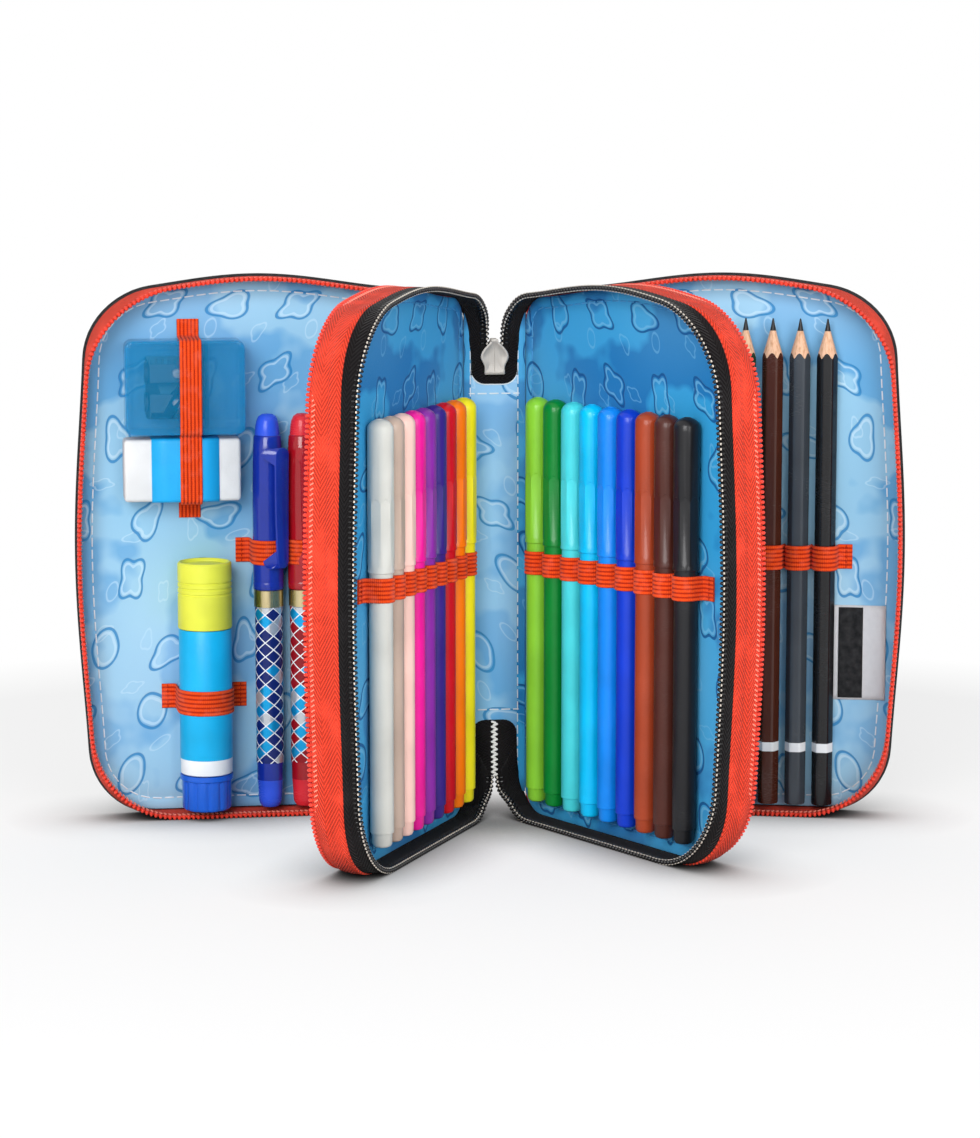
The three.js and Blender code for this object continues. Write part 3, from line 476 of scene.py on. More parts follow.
@dataclass(frozen=True)
class Elasticated(Cloth):
    """Ribbed elastic: fine cross threads between the ribs, with painted shade in the grooves."""

    # Painted shade: the darker colour put into the grooves between the ribs.
    groove: str = "a82408"
    thread_pitch: float = 0.7

    def dress(self, graph: Graph) -> None:
        """Adds cross threads, and paints shade into the grooves between ribs from the painted light value that the
        band's vertices carry.

        Args:
            graph: The material's graph.
        """
        run = graph.split(graph.surface())[0]
        wave = graph.math("SINE", graph.times(run, FULL_TURN / (self.thread_pitch * MM)))
        threads = graph.band(wave, -1, 1)
        painted_rib_light = graph.add("ShaderNodeAttribute", attribute_name="painted_rib_light").outputs["Fac"]
        ribbed = graph.mix(painted_rib_light, rgb(self.groove), self.tone())
        ribs_with_painted_shade = graph.mix(graph.times(threads, 0.22), ribbed, rgb(self.groove))
        uneven = graph.times(graph.band(graph.noise(graph.solid(), 260, 2), 0.5, 0.8), 0.35)
        graph.feed("Base Color", graph.mix(uneven, ribs_with_painted_shade, self.tone(0.85, 0.1)))
        graph.relief(threads, self.bump)


@dataclass(frozen=True)
class Print(Cloth):
    """Printed lining: clouds in two blues, with outlined doodles."""

    cloud: str = "64a4d2"
    line: str = "2e86c0"
    pale: str = "c4e0f0"
    roughness: float = 0.6
    bump: float = 0.05

    def dress(self, graph: Graph) -> None:
        """Adds clouds, large doodles with a painted highlight inside each outline, small faint ones and the weave.

        Args:
            graph: The material's graph.
        """
        vector = graph.surface()
        weave = EFFECTS.use(graph, Effect.WEAVE, vector, Pitch=0.45 * MM)[0]
        cloud, haze = EFFECTS.use(graph, Effect.CLOUDS, vector)
        outline, inner = EFFECTS.use(graph, Effect.DOODLES, vector)
        small = EFFECTS.use(graph, Effect.DOODLES, vector, Cell=0.019, Size=0.2, Stretch=2.1, Line=0.03)[0]
        drawn = graph.mix(cloud, self.tone(), rgb(self.cloud))
        # The pale line inside each large outline is a painted highlight, as of a raised edge beside the sunk line.
        for mask, share, code in (
            (haze, 0.35, self.pale), (small, 0.4, self.pale), (inner, 0.55, self.pale), (outline, 0.85, self.line),
            (weave, 0.1, self.line),
        ):
            drawn = graph.mix(graph.times(mask, share), drawn, rgb(code))
        graph.feed("Base Color", drawn)
        graph.relief(graph.plus(weave, graph.times(outline, -3.0)), self.bump)


@dataclass(frozen=True)
class Metal(Finish):
    """Cast or plated metal with a faint brushing."""

    metallic: float = 1.0
    roughness: float = 0.32
    bump: float = 0.03

    def dress(self, graph: Graph) -> None:
        """Adds brushing along Z and tarnish in patches.

        Args:
            graph: The material's graph.
        """
        vector = graph.solid()
        lines = graph.noise(graph.stretch(vector, 0.06), 2600, 2)
        wear = EFFECTS.use(graph, Effect.WEAR, vector, Scale=150.0)[0]
        graph.feed("Base Color", graph.mix(graph.times(wear, 0.6), self.tone(), self.tone(0.7)))
        graph.feed("Roughness", graph.plus(graph.times(lines, 0.18), self.roughness))
        graph.relief(lines, self.bump)


@dataclass(frozen=True)
class Faceted(Finish):
    """Clear barrel printed with a lattice of slanted diamonds in a few colours."""

    second: str = "c8ccd2"
    third: str = "18a4e0"
    line: str = "f4f6f8"

    def dress(self, graph: Graph) -> None:
        """Adds the lattice, its outlines and a fine grain.

        Args:
            graph: The material's graph.
        """
        line, chance = EFFECTS.use(graph, Effect.FACETS, graph.surface())
        silver = graph.math("GREATER_THAN", chance, 0.62)
        toned = graph.mix(silver, self.tone(), rgb(self.second))
        toned = graph.mix(graph.math("GREATER_THAN", chance, 0.82), toned, rgb(self.third))
        graph.feed("Base Color", graph.mix(line, toned, rgb(self.line)))
        graph.feed("Metallic", graph.times(silver, 0.6))
        graph.relief(EFFECTS.use(graph, Effect.GRAIN, graph.solid())[0], self.bump)


@dataclass(frozen=True)
class ClearPlastic(Finish):
    """Thin tinted plastic that lets the light straight through, denser where it is seen edge on."""

    opacity: float = 0.2
    edge_share: float = 0.6

    def dress(self, graph: Graph) -> None:
        """Adds fine scuffs to the tint and shows more of it towards the edges.

        Args:
            graph: The material's graph.
        """
        wear = EFFECTS.use(graph, Effect.WEAR, graph.solid(), Scale=120.0)[0]
        graph.feed("Base Color", graph.mix(graph.times(wear, 0.25), self.tone(), self.tone(0.9, 0.06)))
        facing = graph.add("ShaderNodeLayerWeight", {"Blend": 0.35}).outputs["Facing"]
        graph.feed("Alpha", graph.plus(graph.times(facing, self.edge_share), self.opacity))


@dataclass(frozen=True)
class Wood(Finish):
    """Bare sharpened wood with grain along Z."""

    roughness: float = 0.65
    vein: str = "b98762"

    def dress(self, graph: Graph) -> None:
        """Adds long veins and pores.

        Args:
            graph: The material's graph.
        """
        veins = graph.noise(graph.stretch(graph.solid(), 0.12), 1500, 4)
        graph.feed("Base Color", graph.mix(graph.band(veins, 0.45, 0.75), self.tone(), rgb(self.vein)))
        graph.relief(veins, self.bump)


COVER_CLOTH = Cloth("Black cover cloth", "1a1b1e", pitch=0.7)
RIBBON_EDGE = Cloth("Black piping", "141416", pitch=0.5)
COVER_LINING = Print("Cover lining print", "92c2de", line="2a80ba")
# Painted shade: the same print as the cover lining, made deeper for the dividers, which stand in the shade of the
# middle compartment.
SHADED_DIVIDER_LINING = Print("Divider lining print with painted shade", "2f9ad2", cloud="1172b2", line="084c88", pale="78bce0")
STRIP_LINING = Print("Spine lining print", "86bfe6", cloud="5ba5dc", pale="c4e0f4")
STITCH = Finish("White sewing thread", "e9eef2", roughness=0.7)
BLUE_STITCH = Finish("Blue sewing thread", "4a97cc", roughness=0.7)
ELASTIC = Elasticated("Orange elastic", "f4511a")
ZINC = Metal("Plated zinc", "a09c97", roughness=0.42)
STEEL = Metal("Blade steel", "2e3a40", roughness=0.25)
ALUMINIUM = Metal("Cast sharpener metal", "34505a", roughness=0.4)
CLEAR_BLUE = ClearPlastic("Clear blue plastic", "009ad8", roughness=0.06, specular=0.6)
ERASER_WHITE = Finish("White vinyl", "dcddde", roughness=0.65, bump=0.1)
SLEEVE_CYAN = Finish("Cyan card sleeve", "1aa7e6", roughness=0.4)
GLUE_YELLOW = Finish("Yellow cap plastic", "e3e64a", roughness=0.4)
GLUE_CYAN = Finish("Cyan tube plastic", "12b2ea", roughness=0.35)
GLUE_WHITE = Finish("White tube ring", "eef2f5", roughness=0.35, coat=0.3)
GLUE_BLUE = Finish("Blue knob plastic", "0b5fd6", roughness=0.3, coat=0.3)
PEN_BLUE = Finish("Clear dark blue plastic", "142f9e", roughness=0.12, coat=0.15, specular=0.5)
PEN_BLUE_TIP = Finish("Blue button plastic", "2f57e0", roughness=0.25, coat=0.1)
PEN_BLUE_PRINT = Faceted("Printed blue barrel", "0f2268", roughness=0.25, coat=0.1)
PEN_RED = Finish("Clear dark red plastic", "a80f1c", roughness=0.12, coat=0.15, specular=0.5)
PEN_RED_TIP = Finish("Red button plastic", "de2a36", roughness=0.25, coat=0.1)
PEN_RED_PRINT = Faceted("Printed red barrel", "8d0b18", roughness=0.25, coat=0.1)
PEN_BAND = Metal("Plated band", "c9b98e", roughness=0.2)
PENCIL_WOOD = Wood("Sharpened wood", "e0b596")
PENCIL_LEAD = Finish("Pencil lead", "18181a", roughness=0.35)
PENCIL_RING = Finish("White painted ring", "eceef0", roughness=0.3, coat=0.4)
LABEL_SATIN = Cloth("White satin label", "eef0f4", pitch=0.35, roughness=0.5)
LABEL_PATCH = Cloth("Dark woven patch", "1c1d20", pitch=0.4)

FELT_COLOURS = {
    "left": {
        "yellow": "f6e61e", "orange": "ff7a00", "red": "cf0a1c", "indigo": "3b2285", "purple": "8c2aa2",
        "magenta": "f0189a", "pink": "fbcfc2", "taupe": "bda697", "grey": "cfcfc8",
    },
    "right": {
        "light_green": "86cc36", "green": "00802f", "turquoise": "45d4dc", "sky": "00bdf2", "blue": "0a86ea",
        "dark_blue": "0a3ac6", "brown": "a24022", "dark_brown": "4b241c", "black": "1c1c1f",
    },
}
PENCIL_COLOURS = {"green": "23402f", "brown": "4a2419", "grey": "3d434a", "black": "1a1a1c"}


@dataclass(frozen=True)
class ZipLook:
    """What a zip is made of, and how the thread that sews its coil shows. Its thread is painted paler than the coil,
    partly for the coil's rows of highlight, and the black zip's closed teeth are painted near white for their
    reflection.
    """

    tape: Finish
    coil: Finish
    thread: Finish
    closed: Finish
    slot: str
    stitch: tuple[float, float, float]
    stitch_back: float
    stitch_levels: tuple[float, float]
    stitch_lean: float


RED_COIL = Finish("Red nylon coil", "e8402e", roughness=0.3)
RED_ZIP = ZipLook(
    Tape("Red zip tape", "f4472f", groove_shade_share=0.45), RED_COIL,
    Finish("Red coil thread with painted highlight", "f58d78", roughness=0.5), RED_COIL, "red_tape",
    stitch=(0.4, 1.5, 0.432), stitch_back=-3.1, stitch_levels=(0.5, -0.72), stitch_lean=-0.6,
)
BLACK_ZIP = ZipLook(
    Tape("Black zip tape", "191617", groove_shade_share=0.4),
    Finish("Black nylon coil", "141314", roughness=0.25, specular=0.5),
    Finish("Pale coil thread with painted highlight", "d2c9bd", roughness=0.5),
    # Painted reflection: the black zip's closed teeth are painted near white, partly as their thread and partly for the
    # bright reflection along the black nylon.
    Finish("Closed teeth painted white for reflection", "f4f3f0", roughness=0.4), "black_tape",
    stitch=(0.34, 0.5, 0.72), stitch_back=-0.8, stitch_levels=(0.86, -0.76), stitch_lean=0.0,
)


# Mesh tools


def run_length(points: Sequence[Vector]) -> float:
    """How long a line of points is."""
    return sum((after - before).length for before, after in zip(points, points[1:]))


def curve_between(first: Vector, lead: Vector, trail: Vector, last: Vector, steps: int) -> list[Vector]:
    """Points on a cubic curve.

    Args:
        first: Its start.
        lead: The handle at its start.
        trail: The handle at its end.
        last: Its end.
        steps: Its number of steps.

    Returns:
        The points, with both ends.
    """
    points = []
    for step in range(steps + 1):
        t = step / steps
        s = 1 - t
        points.append(first * s ** 3 + lead * 3 * s * s * t + trail * 3 * s * t * t + last * t ** 3)
    return points


def spaced(points: Sequence[Vector], spacing: float) -> list[Vector]:
    """Walks a line of points at an even spacing.

    Args:
        points: The line's points in order.
        spacing: About how far apart the new points lie, in millimetres.

    Returns:
        Evenly spaced points, with both ends kept.
    """
    runs = [0.0]
    for before, after in zip(points, points[1:]):
        runs.append(runs[-1] + (after - before).length)
    count = max(2, round(runs[-1] / spacing))
    found = []
    at = 0
    for step in range(count + 1):
        want = runs[-1] * step / count
        while at < len(points) - 2 and runs[at + 1] < want:
            at += 1
        part = (want - runs[at]) / max(runs[at + 1] - runs[at], 1e-9)
        found.append(points[at].lerp(points[at + 1], min(1.0, part)))
    return found


def stations(points: Sequence[Vector], side: Vector) -> list[Matrix]:
    """Frames along a line: X outwards, Y near the side vector and Z along the line.

    Args:
        points: The line's points.
        side: The direction that Y keeps to.

    Returns:
        One frame for each point.
    """
    frames = []
    for index, point in enumerate(points):
        before = points[max(index - 1, 0)]
        after = points[min(index + 1, len(points) - 1)]
        ahead = (after - before).normalized()
        out = side.cross(ahead).normalized()
        frame = Matrix((out, ahead.cross(out), ahead)).transposed().to_4x4()
        frame.translation = point
        frames.append(frame)
    return frames


def loft(rings: Sequence[Sequence[Vector]], closed: bool = True, painted_rib_light: Sequence[float] = ()) -> BMesh:
    """Draws a line of points through rings of the same count, and notes each vertex's run, girth and painted rib light.

    Args:
        rings: Where the line stands, ring by ring.
        closed: Whether each ring is closed, and so gets a cap at both ends.
        painted_rib_light: How lit each point of a ring is painted, from 0 for painted shade in a groove to 1 on a rib's
            top.

    Returns:
        The mesh.
    """
    bm = bmesh.new()
    layers = bm.verts.layers
    place = layers.int.new("place")
    # The rise layer holds each point's painted rib light, from which the elastic paints shade into its grooves.
    run, girth, rise = (layers.float.new(name) for name in ("run", "girth", "painted_rib_light"))
    verts = [bm.verts.new(point) for point in rings[0]]
    around = 0.0
    for index, vert in enumerate(verts):
        vert[place] = index
        vert[girth] = around
        vert[rise] = painted_rib_light[index] if painted_rib_light else 1.0
        around += (rings[0][(index + 1) % len(verts)] - rings[0][index]).length
    pairs = list(zip(verts, verts[1:]))
    if closed:
        pairs.append((verts[-1], verts[0]))
    first = edges = [bm.edges.new(pair) for pair in pairs]
    distance = 0.0
    middle = sum(rings[0], Vector()) / len(rings[0])
    for ring in rings[1:]:
        made = bmesh.ops.extrude_edge_only(bm, edges=edges)["geom"]
        fresh = {item for item in made if isinstance(item, BMVert)}
        edges = [item for item in made if isinstance(item, BMEdge) and fresh.issuperset(item.verts)]
        centre = sum(ring, Vector()) / len(ring)
        distance += max((centre - middle).length, (ring[0] - rings[0][0]).length * 0.001)
        middle = centre
        for vert in fresh:
            vert.co = ring[vert[place]]
            vert[run] = distance
    if closed:
        for loop in (first, edges):
            bmesh.ops.contextual_create(bm, geom=loop)
    bmesh.ops.recalc_face_normals(bm, faces=bm.faces)
    return bm


def sheet(rings: Sequence[Sequence[Vector]], face_y: int) -> BMesh:
    """Draws an open sheet through rings.

    Args:
        rings: Where its line of points stands, ring by ring.
        face_y: 1 or -1, the way in Y that its first face looks.

    Returns:
        The mesh.
    """
    bm = loft(rings, closed=False)
    if bm.faces[:][0].normal.y * face_y < 0:
        bmesh.ops.reverse_faces(bm, faces=bm.faces)
    return bm


def tube(rings: Sequence[list[Vector]]) -> BMesh:
    """Joins closed rings into a tube without caps, welded along its seam.

    Args:
        rings: The rings in order.

    Returns:
        The mesh.
    """
    bm = loft([ring + ring[:1] for ring in rings], closed=False)
    bmesh.ops.remove_doubles(bm, verts=bm.verts, dist=0.001)
    return bm


def sweep(frames: Sequence[Matrix], profile: Profile, painted_rib_light: Sequence[float] = ()) -> BMesh:
    """Draws a closed profile of X and Y through frames, with a painted rib light value for each of its points."""
    return loft([[frame @ Vector((x, y, 0)) for x, y in profile] for frame in frames], painted_rib_light=painted_rib_light)


def circle(radius: float, sides: int, squash: float = 1.0) -> Profile:
    """Points of a circle or flattened circle."""
    turns = [FULL_TURN * side / sides for side in range(sides)]
    return [(radius * math.cos(turn), radius * squash * math.sin(turn)) for turn in turns]


def turn_profile(profile: Profile, sides: int) -> BMesh:
    """Spins a profile of radius and height about Z.

    Args:
        profile: Radius and height of each point, from the axis to the axis.
        sides: Steps round the axis.

    Returns:
        The closed mesh.
    """
    bm = bmesh.new()
    verts = [bm.verts.new((radius, 0, height)) for radius, height in profile]
    edges = [bm.edges.new(pair) for pair in zip(verts, verts[1:])]
    bmesh.ops.spin(
        bm, geom=verts + edges, cent=(0, 0, 0), axis=(0, 0, 1), angle=FULL_TURN, steps=sides, use_merge=True,
    )
    bmesh.ops.remove_doubles(bm, verts=bm.verts, dist=0.001)
    bmesh.ops.recalc_face_normals(bm, faces=bm.faces)
    return bm


def rounded_box(size: Sequence[float], radius: float, segments: int) -> BMesh:
    """A box with rounded edges, centred on the origin.

    Args:
        size: Its width, depth and height.
        radius: Radius of its edges, or 0 for a tiny box with sharp ones.
        segments: Steps of each round.

    Returns:
        The mesh.
    """
    bm = bmesh.new()
    bmesh.ops.create_cube(bm, size=1.0)
    bmesh.ops.scale(bm, vec=size, verts=bm.verts)
    if radius:
        bmesh.ops.bevel(
            bm, geom=list(bm.edges), offset=radius, offset_type="OFFSET", segments=segments, profile=0.5,
            affect="EDGES", material=-1,
        )
    return bm


def rounded_rectangle(half_x: float, half_y: float, radius: float, steps: int) -> Profile:
    """A rounded rectangle about the origin.

    Args:
        half_x: Half its width.
        half_y: Half its height.
        radius: Radius of its corners.
        steps: Steps of each corner.

    Returns:
        Its points, of the same count at any size.
    """
    points = []
    for index, (x, y) in enumerate(((1, 1), (-1, 1), (-1, -1), (1, -1))):
        for step in range(steps + 1):
            turn = math.radians(90 * index + 90 * step / steps)
            points.append((
                x * (half_x - radius) + radius * math.cos(turn), y * (half_y - radius) + radius * math.sin(turn),
            ))
    return points


def level_ring(half_x: float, half_z: float, radius: float, level: float) -> list[Vector]:
    """A rounded rectangle in X and Z, at a level in Y."""
    return [Vector((x, level, z)) for x, z in rounded_rectangle(half_x, half_z, radius, 6)]


def panel(half: float, rise: Profile, depth: tuple[float, float], corner: float, soft: float = 0.3) -> BMesh:
    """A flat panel with rounded corners and soft edges.

    Args:
        half: Half its width.
        rise: Its lower and upper end.
        depth: Its inner and outer face in Y.
        corner: Radius of its corners.
        soft: Radius of its edges.

    Returns:
        The mesh.
    """
    (low, high), (front, back) = rise, depth
    soft = min(soft, (back - front) * 0.4, corner * 0.6)
    steps = [(soft, front), (soft * 0.3, front + soft * 0.3), (0.0, front + soft)]
    steps += [(0.0, back - soft), (soft * 0.3, back - soft * 0.3), (soft, back)]
    tall = (high - low) / 2
    bm = loft([level_ring(half - inset, tall - inset, corner - inset, level) for inset, level in steps])
    bmesh.ops.translate(bm, vec=(0, 0, (low + high) / 2), verts=bm.verts)
    return bm


def wrap_uv(bm: BMesh, radius: float) -> None:
    """Lays a UV map round Z, in metres, with no face torn at the seam.

    Args:
        bm: The turned mesh.
        radius: The radius at which the map keeps its scale.
    """
    layer = bm.loops.layers.uv.verify()
    for face in bm.faces:
        middle = face.calc_center_median()
        facing = math.atan2(middle.y, middle.x)
        for loop in face.loops:
            place = loop.vert.co
            turn = math.atan2(place.y, place.x) - facing
            turn = (turn + math.pi) % FULL_TURN - math.pi
            loop[layer].uv = ((facing + turn) * radius * MM, place.z * MM)


def flat_uv(bm: BMesh) -> None:
    """Lays a UV map on X and Z, in metres.

    Args:
        bm: The mesh.
    """
    layer = bm.loops.layers.uv.verify()
    for face in bm.faces:
        for loop in face.loops:
            loop[layer].uv = (loop.vert.co.x * MM, loop.vert.co.z * MM)


def run_uv(bm: BMesh, turned: bool = False) -> None:
    """Lays a UV map from the run and girth that a loft noted, in metres.

    Args:
        bm: The lofted mesh.
        turned: Whether U follows the girth and V the run.
    """
    layer = bm.loops.layers.uv.verify()
    run = bm.verts.layers.float["run"]
    girth = bm.verts.layers.float["girth"]
    for face in bm.faces:
        for loop in face.loops:
            place = (loop.vert[run] * MM, loop.vert[girth] * MM)
            loop[layer].uv = place[::-1] if turned else place


def choose(bm: BMesh, index: int, test: Callable[[float], bool], axis: int = 2) -> None:
    """Gives faces a material number.

    Args:
        bm: The mesh.
        index: The number.
        test: Says of a face's middle along the axis whether the face gets it.
        axis: 0 for X, 1 for Y and 2 for Z.
    """
    for face in bm.faces:
        if test(face.calc_center_median()[axis]):
            face.material_index = index


def scatter(bm: BMesh, part: BMesh, frames: Sequence[Matrix], index: int | None = None) -> None:
    """Adds copies of a small mesh, which is freed.

    Args:
        bm: The mesh that gets them.
        part: The small mesh.
        frames: Where each copy stands.
        index: A material number for the copies, or none to keep their own.
    """
    if index is not None:
        choose(part, index, lambda _: True)
    mesh = bpy.data.meshes.new("part")
    part.to_mesh(mesh)
    part.free()
    for frame in frames:
        start = len(bm.verts)
        bm.from_mesh(mesh)
        bm.verts.ensure_lookup_table()
        bmesh.ops.transform(bm, matrix=frame, verts=bm.verts[start:])
    bpy.data.meshes.remove(mesh)


def give_wall(made: Object, thickness: float, back: int = 0) -> None:
    """Gives a sheet a wall behind its face.

    Args:
        made: The sheet.
        thickness: The wall's thickness in millimetres.
        back: How many slots further on the material of its back and rim is.
    """
    wall = made.modifiers.new("wall", "SOLIDIFY")
    wall.thickness = thickness * MM
    wall.offset = -1
    wall.material_offset = wall.material_offset_rim = back


@dataclass
class Piece:
    """How a finished mesh is named, dressed and placed."""

    name: str
    slot: str
    finishes: Sequence[Finish]
    replaces: Sequence[str] = ()
    sharp: float = 38.0

    def make(self, bm: BMesh, frame: Matrix, body: str = "") -> Object:
        """Sets a mesh in place and makes it a piece of the object.

        Args:
            bm: The mesh in its own frame, which is freed.
            frame: From that frame to metres in the row frame.
            body: The body that it rides on, or none for a piece that bends between two.

        Returns:
            The new object.
        """
        bmesh.ops.transform(bm, matrix=frame, verts=bm.verts)
        if frame.determinant() < 0:
            bmesh.ops.reverse_faces(bm, faces=bm.faces)
        mesh = bpy.data.meshes.new(self.name)
        bm.to_mesh(mesh)
        bm.free()
        if mesh.uv_layers:
            mesh.uv_layers[0].name = "Surface"
        mesh.polygons.foreach_set("use_smooth", [True] * len(mesh.polygons))
        mesh.set_sharp_from_angle(angle=math.radians(self.sharp))
        for finish in self.finishes:
            mesh.materials.append(finish.material())
        made = bpy.data.objects.new(self.name, mesh)
        bpy.context.scene.collection.objects.link(made)
        if self.replaces:
            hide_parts(*self.replaces)
        if body:
            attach(made, body)
        LOG.info("%s: %d faces", self.name, len(mesh.polygons))
        return made


def make_whole(bm: BMesh, place: Matrix, node: str, slot: str, finishes: Sequence[Finish], sharp: float) -> None:
    """Makes the only piece of a node that has a body of its own."""
    Piece(f"{node}_body", slot, finishes, [node], sharp).make(bm, place, node)


# Where everything stands


@dataclass(frozen=True)
class Tray:
    """One face of a leaf or strip: its body and its own frame."""

    name: str
    body: str
    origin: Vector
    heading: float
    side: int
    depth: float = 0.0

    def frame(self) -> Matrix:
        """Works out where the tray stands.

        Returns:
            The frame from the tray's millimetres to metres in the row frame.
        """
        angle = math.radians(self.heading)
        along = Vector((math.cos(angle), math.sin(angle), 0))
        inward = Vector((-along.y, along.x, 0)) * self.side
        axes = Matrix((along, inward, UPWARD)).transposed().to_4x4()
        return Matrix.Translation(self.origin) @ axes @ Matrix.Scale(MM, 4)

    def at(self, x: float, y: float, z: float) -> Matrix:
        """The frame of a piece that stands at a place in the tray."""
        return self.frame() @ Matrix.Translation((x, y, z))

    def add(
        self, bm: BMesh, name: str, slot: str, finishes: Sequence[Finish], replaces: Sequence[str] = (),
        sharp: float = 38.0,
    ) -> Object:
        """Makes a mesh in the tray's frame a piece that rides on its body."""
        return Piece(name, slot, finishes, replaces, sharp).make(bm, self.frame(), self.body)


@dataclass
class Layout:
    """Where the trays and strips stand, from the frame's hinges and the case's own angles."""

    joints: list[dict]
    spine_turn: float = 7.4
    openings: dict[str, float] = field(default_factory=lambda: {"left": 61.0, "middle": 56.0, "right": 46.0})
    divider_thickness: float = 1.9
    middle_depth: float = 10.6
    back_depth: float = 7.6
    cover_depth: float = 14.2

    def __post_init__(self) -> None:
        """Works out the six trays and the three strips."""
        pivot = {joint["name"]: Vector(joint["pos_m"]) for joint in self.joints if joint.get("pos_m")}
        self.trays: dict[str, Tray] = {}
        self.strips: dict[str, Tray] = {}
        for name, side in (("left", 1), ("right", -1)):
            heading = 270 + self.spine_turn - side * self.openings["middle"] / 2
            far = heading - side * self.openings[name]
            back, cover = pivot[f"{name}_strip_hinge"], pivot[f"{name}_cover_hinge"]
            for part, leaf, origin, turn, way, depth in (
                ("front", "divider", pivot[f"middle_{name}_hinge"], heading, side, self.middle_depth),
                ("back", "divider", back, heading, -side, self.back_depth),
                ("cover", "cover", cover, far, side, self.cover_depth),
            ):
                tray = Tray(f"{name}_{part}", f"{name}_{leaf}", origin, turn, way, depth)
                self.trays[tray.name] = tray
            outward = (heading + far) / 2 + 180
            self.strips[name] = Tray(f"{name}_strip", f"{name}_strip", (back + cover) / 2, outward - 90, 1)
        middle = (pivot["middle_left_hinge"] + pivot["middle_right_hinge"]) / 2
        self.strips["middle"] = Tray("middle_strip", "spine", middle, self.spine_turn, 1)


@dataclass(frozen=True)
class LeafShape:
    """The outline that the covers, dividers and zips share."""

    length: float = 124.5
    side_height: float = 194.0
    free_corner: float = 24.0
    spine_corner: float = 12.0
    least_corner: float = 2.0
    corner_steps: int = 12
    side_steps: int = 16
    side_bow: float = 4.5
    top_crown: float = 6.0

    def swell(self, place: Vector) -> Vector:
        """Bows the free side and crowns the top.

        Args:
            place: A point of the plain outline.

        Returns:
            Where it comes to lie.
        """
        along = place.x / self.length
        up = place.z / self.side_height
        return Vector((
            place.x + self.side_bow * along * math.sin(math.pi * min(max(up, 0), 1)) ** 2,
            place.y,
            place.z + self.top_crown * up * math.sin(math.pi * min(max(along, 0), 1)) ** 2,
        ))

    def corners(self, inset: float, draw: float, spine_draw: float = 0.0) -> list[list[Vector]]:
        """The four corner arcs, from the foot of the spine round to its head.

        Args:
            inset: How far inside the outline they lie.
            draw: How much rounder the free corners are.
            spine_draw: How much rounder the spine's corners are.

        Returns:
            The points of each corner.
        """
        free = self.length - inset
        top = self.side_height - inset
        far = max(self.free_corner - inset + draw, self.least_corner)
        near = max(self.spine_corner - inset + spine_draw, self.least_corner)
        centres = [
            (inset + near, inset + near, near, 180), (free - far, inset + far, far, 270),
            (free - far, top - far, far, 0), (inset + near, top - near, near, 90),
        ]
        arcs = []
        for x, z, radius, start in centres:
            turns = [math.radians(start + 90 * step / self.corner_steps) for step in range(self.corner_steps + 1)]
            arcs.append([Vector((x + radius * math.cos(turn), 0, z + radius * math.sin(turn))) for turn in turns])
        return arcs

    def rim(
        self, inset: float = 0.0, draw: float = 0.0, height: float = 0.0, spine_draw: float = 0.0, cut: int = 0,
    ) -> list[Vector]:
        """The run of a zip: along the bottom, up the free side and back along the top.

        Args:
            inset: How far inside the outline it runs.
            draw: How much rounder the free corners are.
            height: Its place in Y.
            spine_draw: How much rounder the spine's corners are.
            cut: Corner steps that it stops short of the spine's edge.

        Returns:
            Points in order, from the foot of the spine to its head.
        """
        line = [point for arc in self.corners(inset, draw, spine_draw) for point in arc]
        return [self.swell(point) + Vector((0, height, 0)) for point in spaced(line[cut:len(line) - cut], 1.2)]

    def outline(self, inset: float = 0.0, height: float = 0.0) -> list[Vector]:
        """The whole outline, with the same count of points at every inset.

        Args:
            inset: How far inside it lies.
            height: Its place in Y.

        Returns:
            Points in order, without the first one again at the end.
        """
        arcs = self.corners(inset, 0.0)
        line: list[Vector] = []
        for arc, following in zip(arcs, arcs[1:] + arcs[:1]):
            line.extend(arc)
            line.extend(arc[-1].lerp(following[0], step / self.side_steps) for step in range(1, self.side_steps))
        return [self.swell(point) + Vector((0, height, 0)) for point in line]


LEAF = LeafShape()


# The case


@dataclass
class Stitches:
    """Rows of sewn dashes."""

    length: float = 3.4
    pitch: float = 4.5
    width: float = 0.5
    height: float = 0.35

    def row(self, bm: BMesh, points: Sequence[Vector], side: Vector = INWARD) -> None:
        """Adds one row of dashes along a line, lying on the surface that the side vector leaves."""
        dash = rounded_box((self.width, self.height, self.length), self.height * 0.4, 1)
        scatter(bm, dash, stations(spaced(points, self.pitch), side))


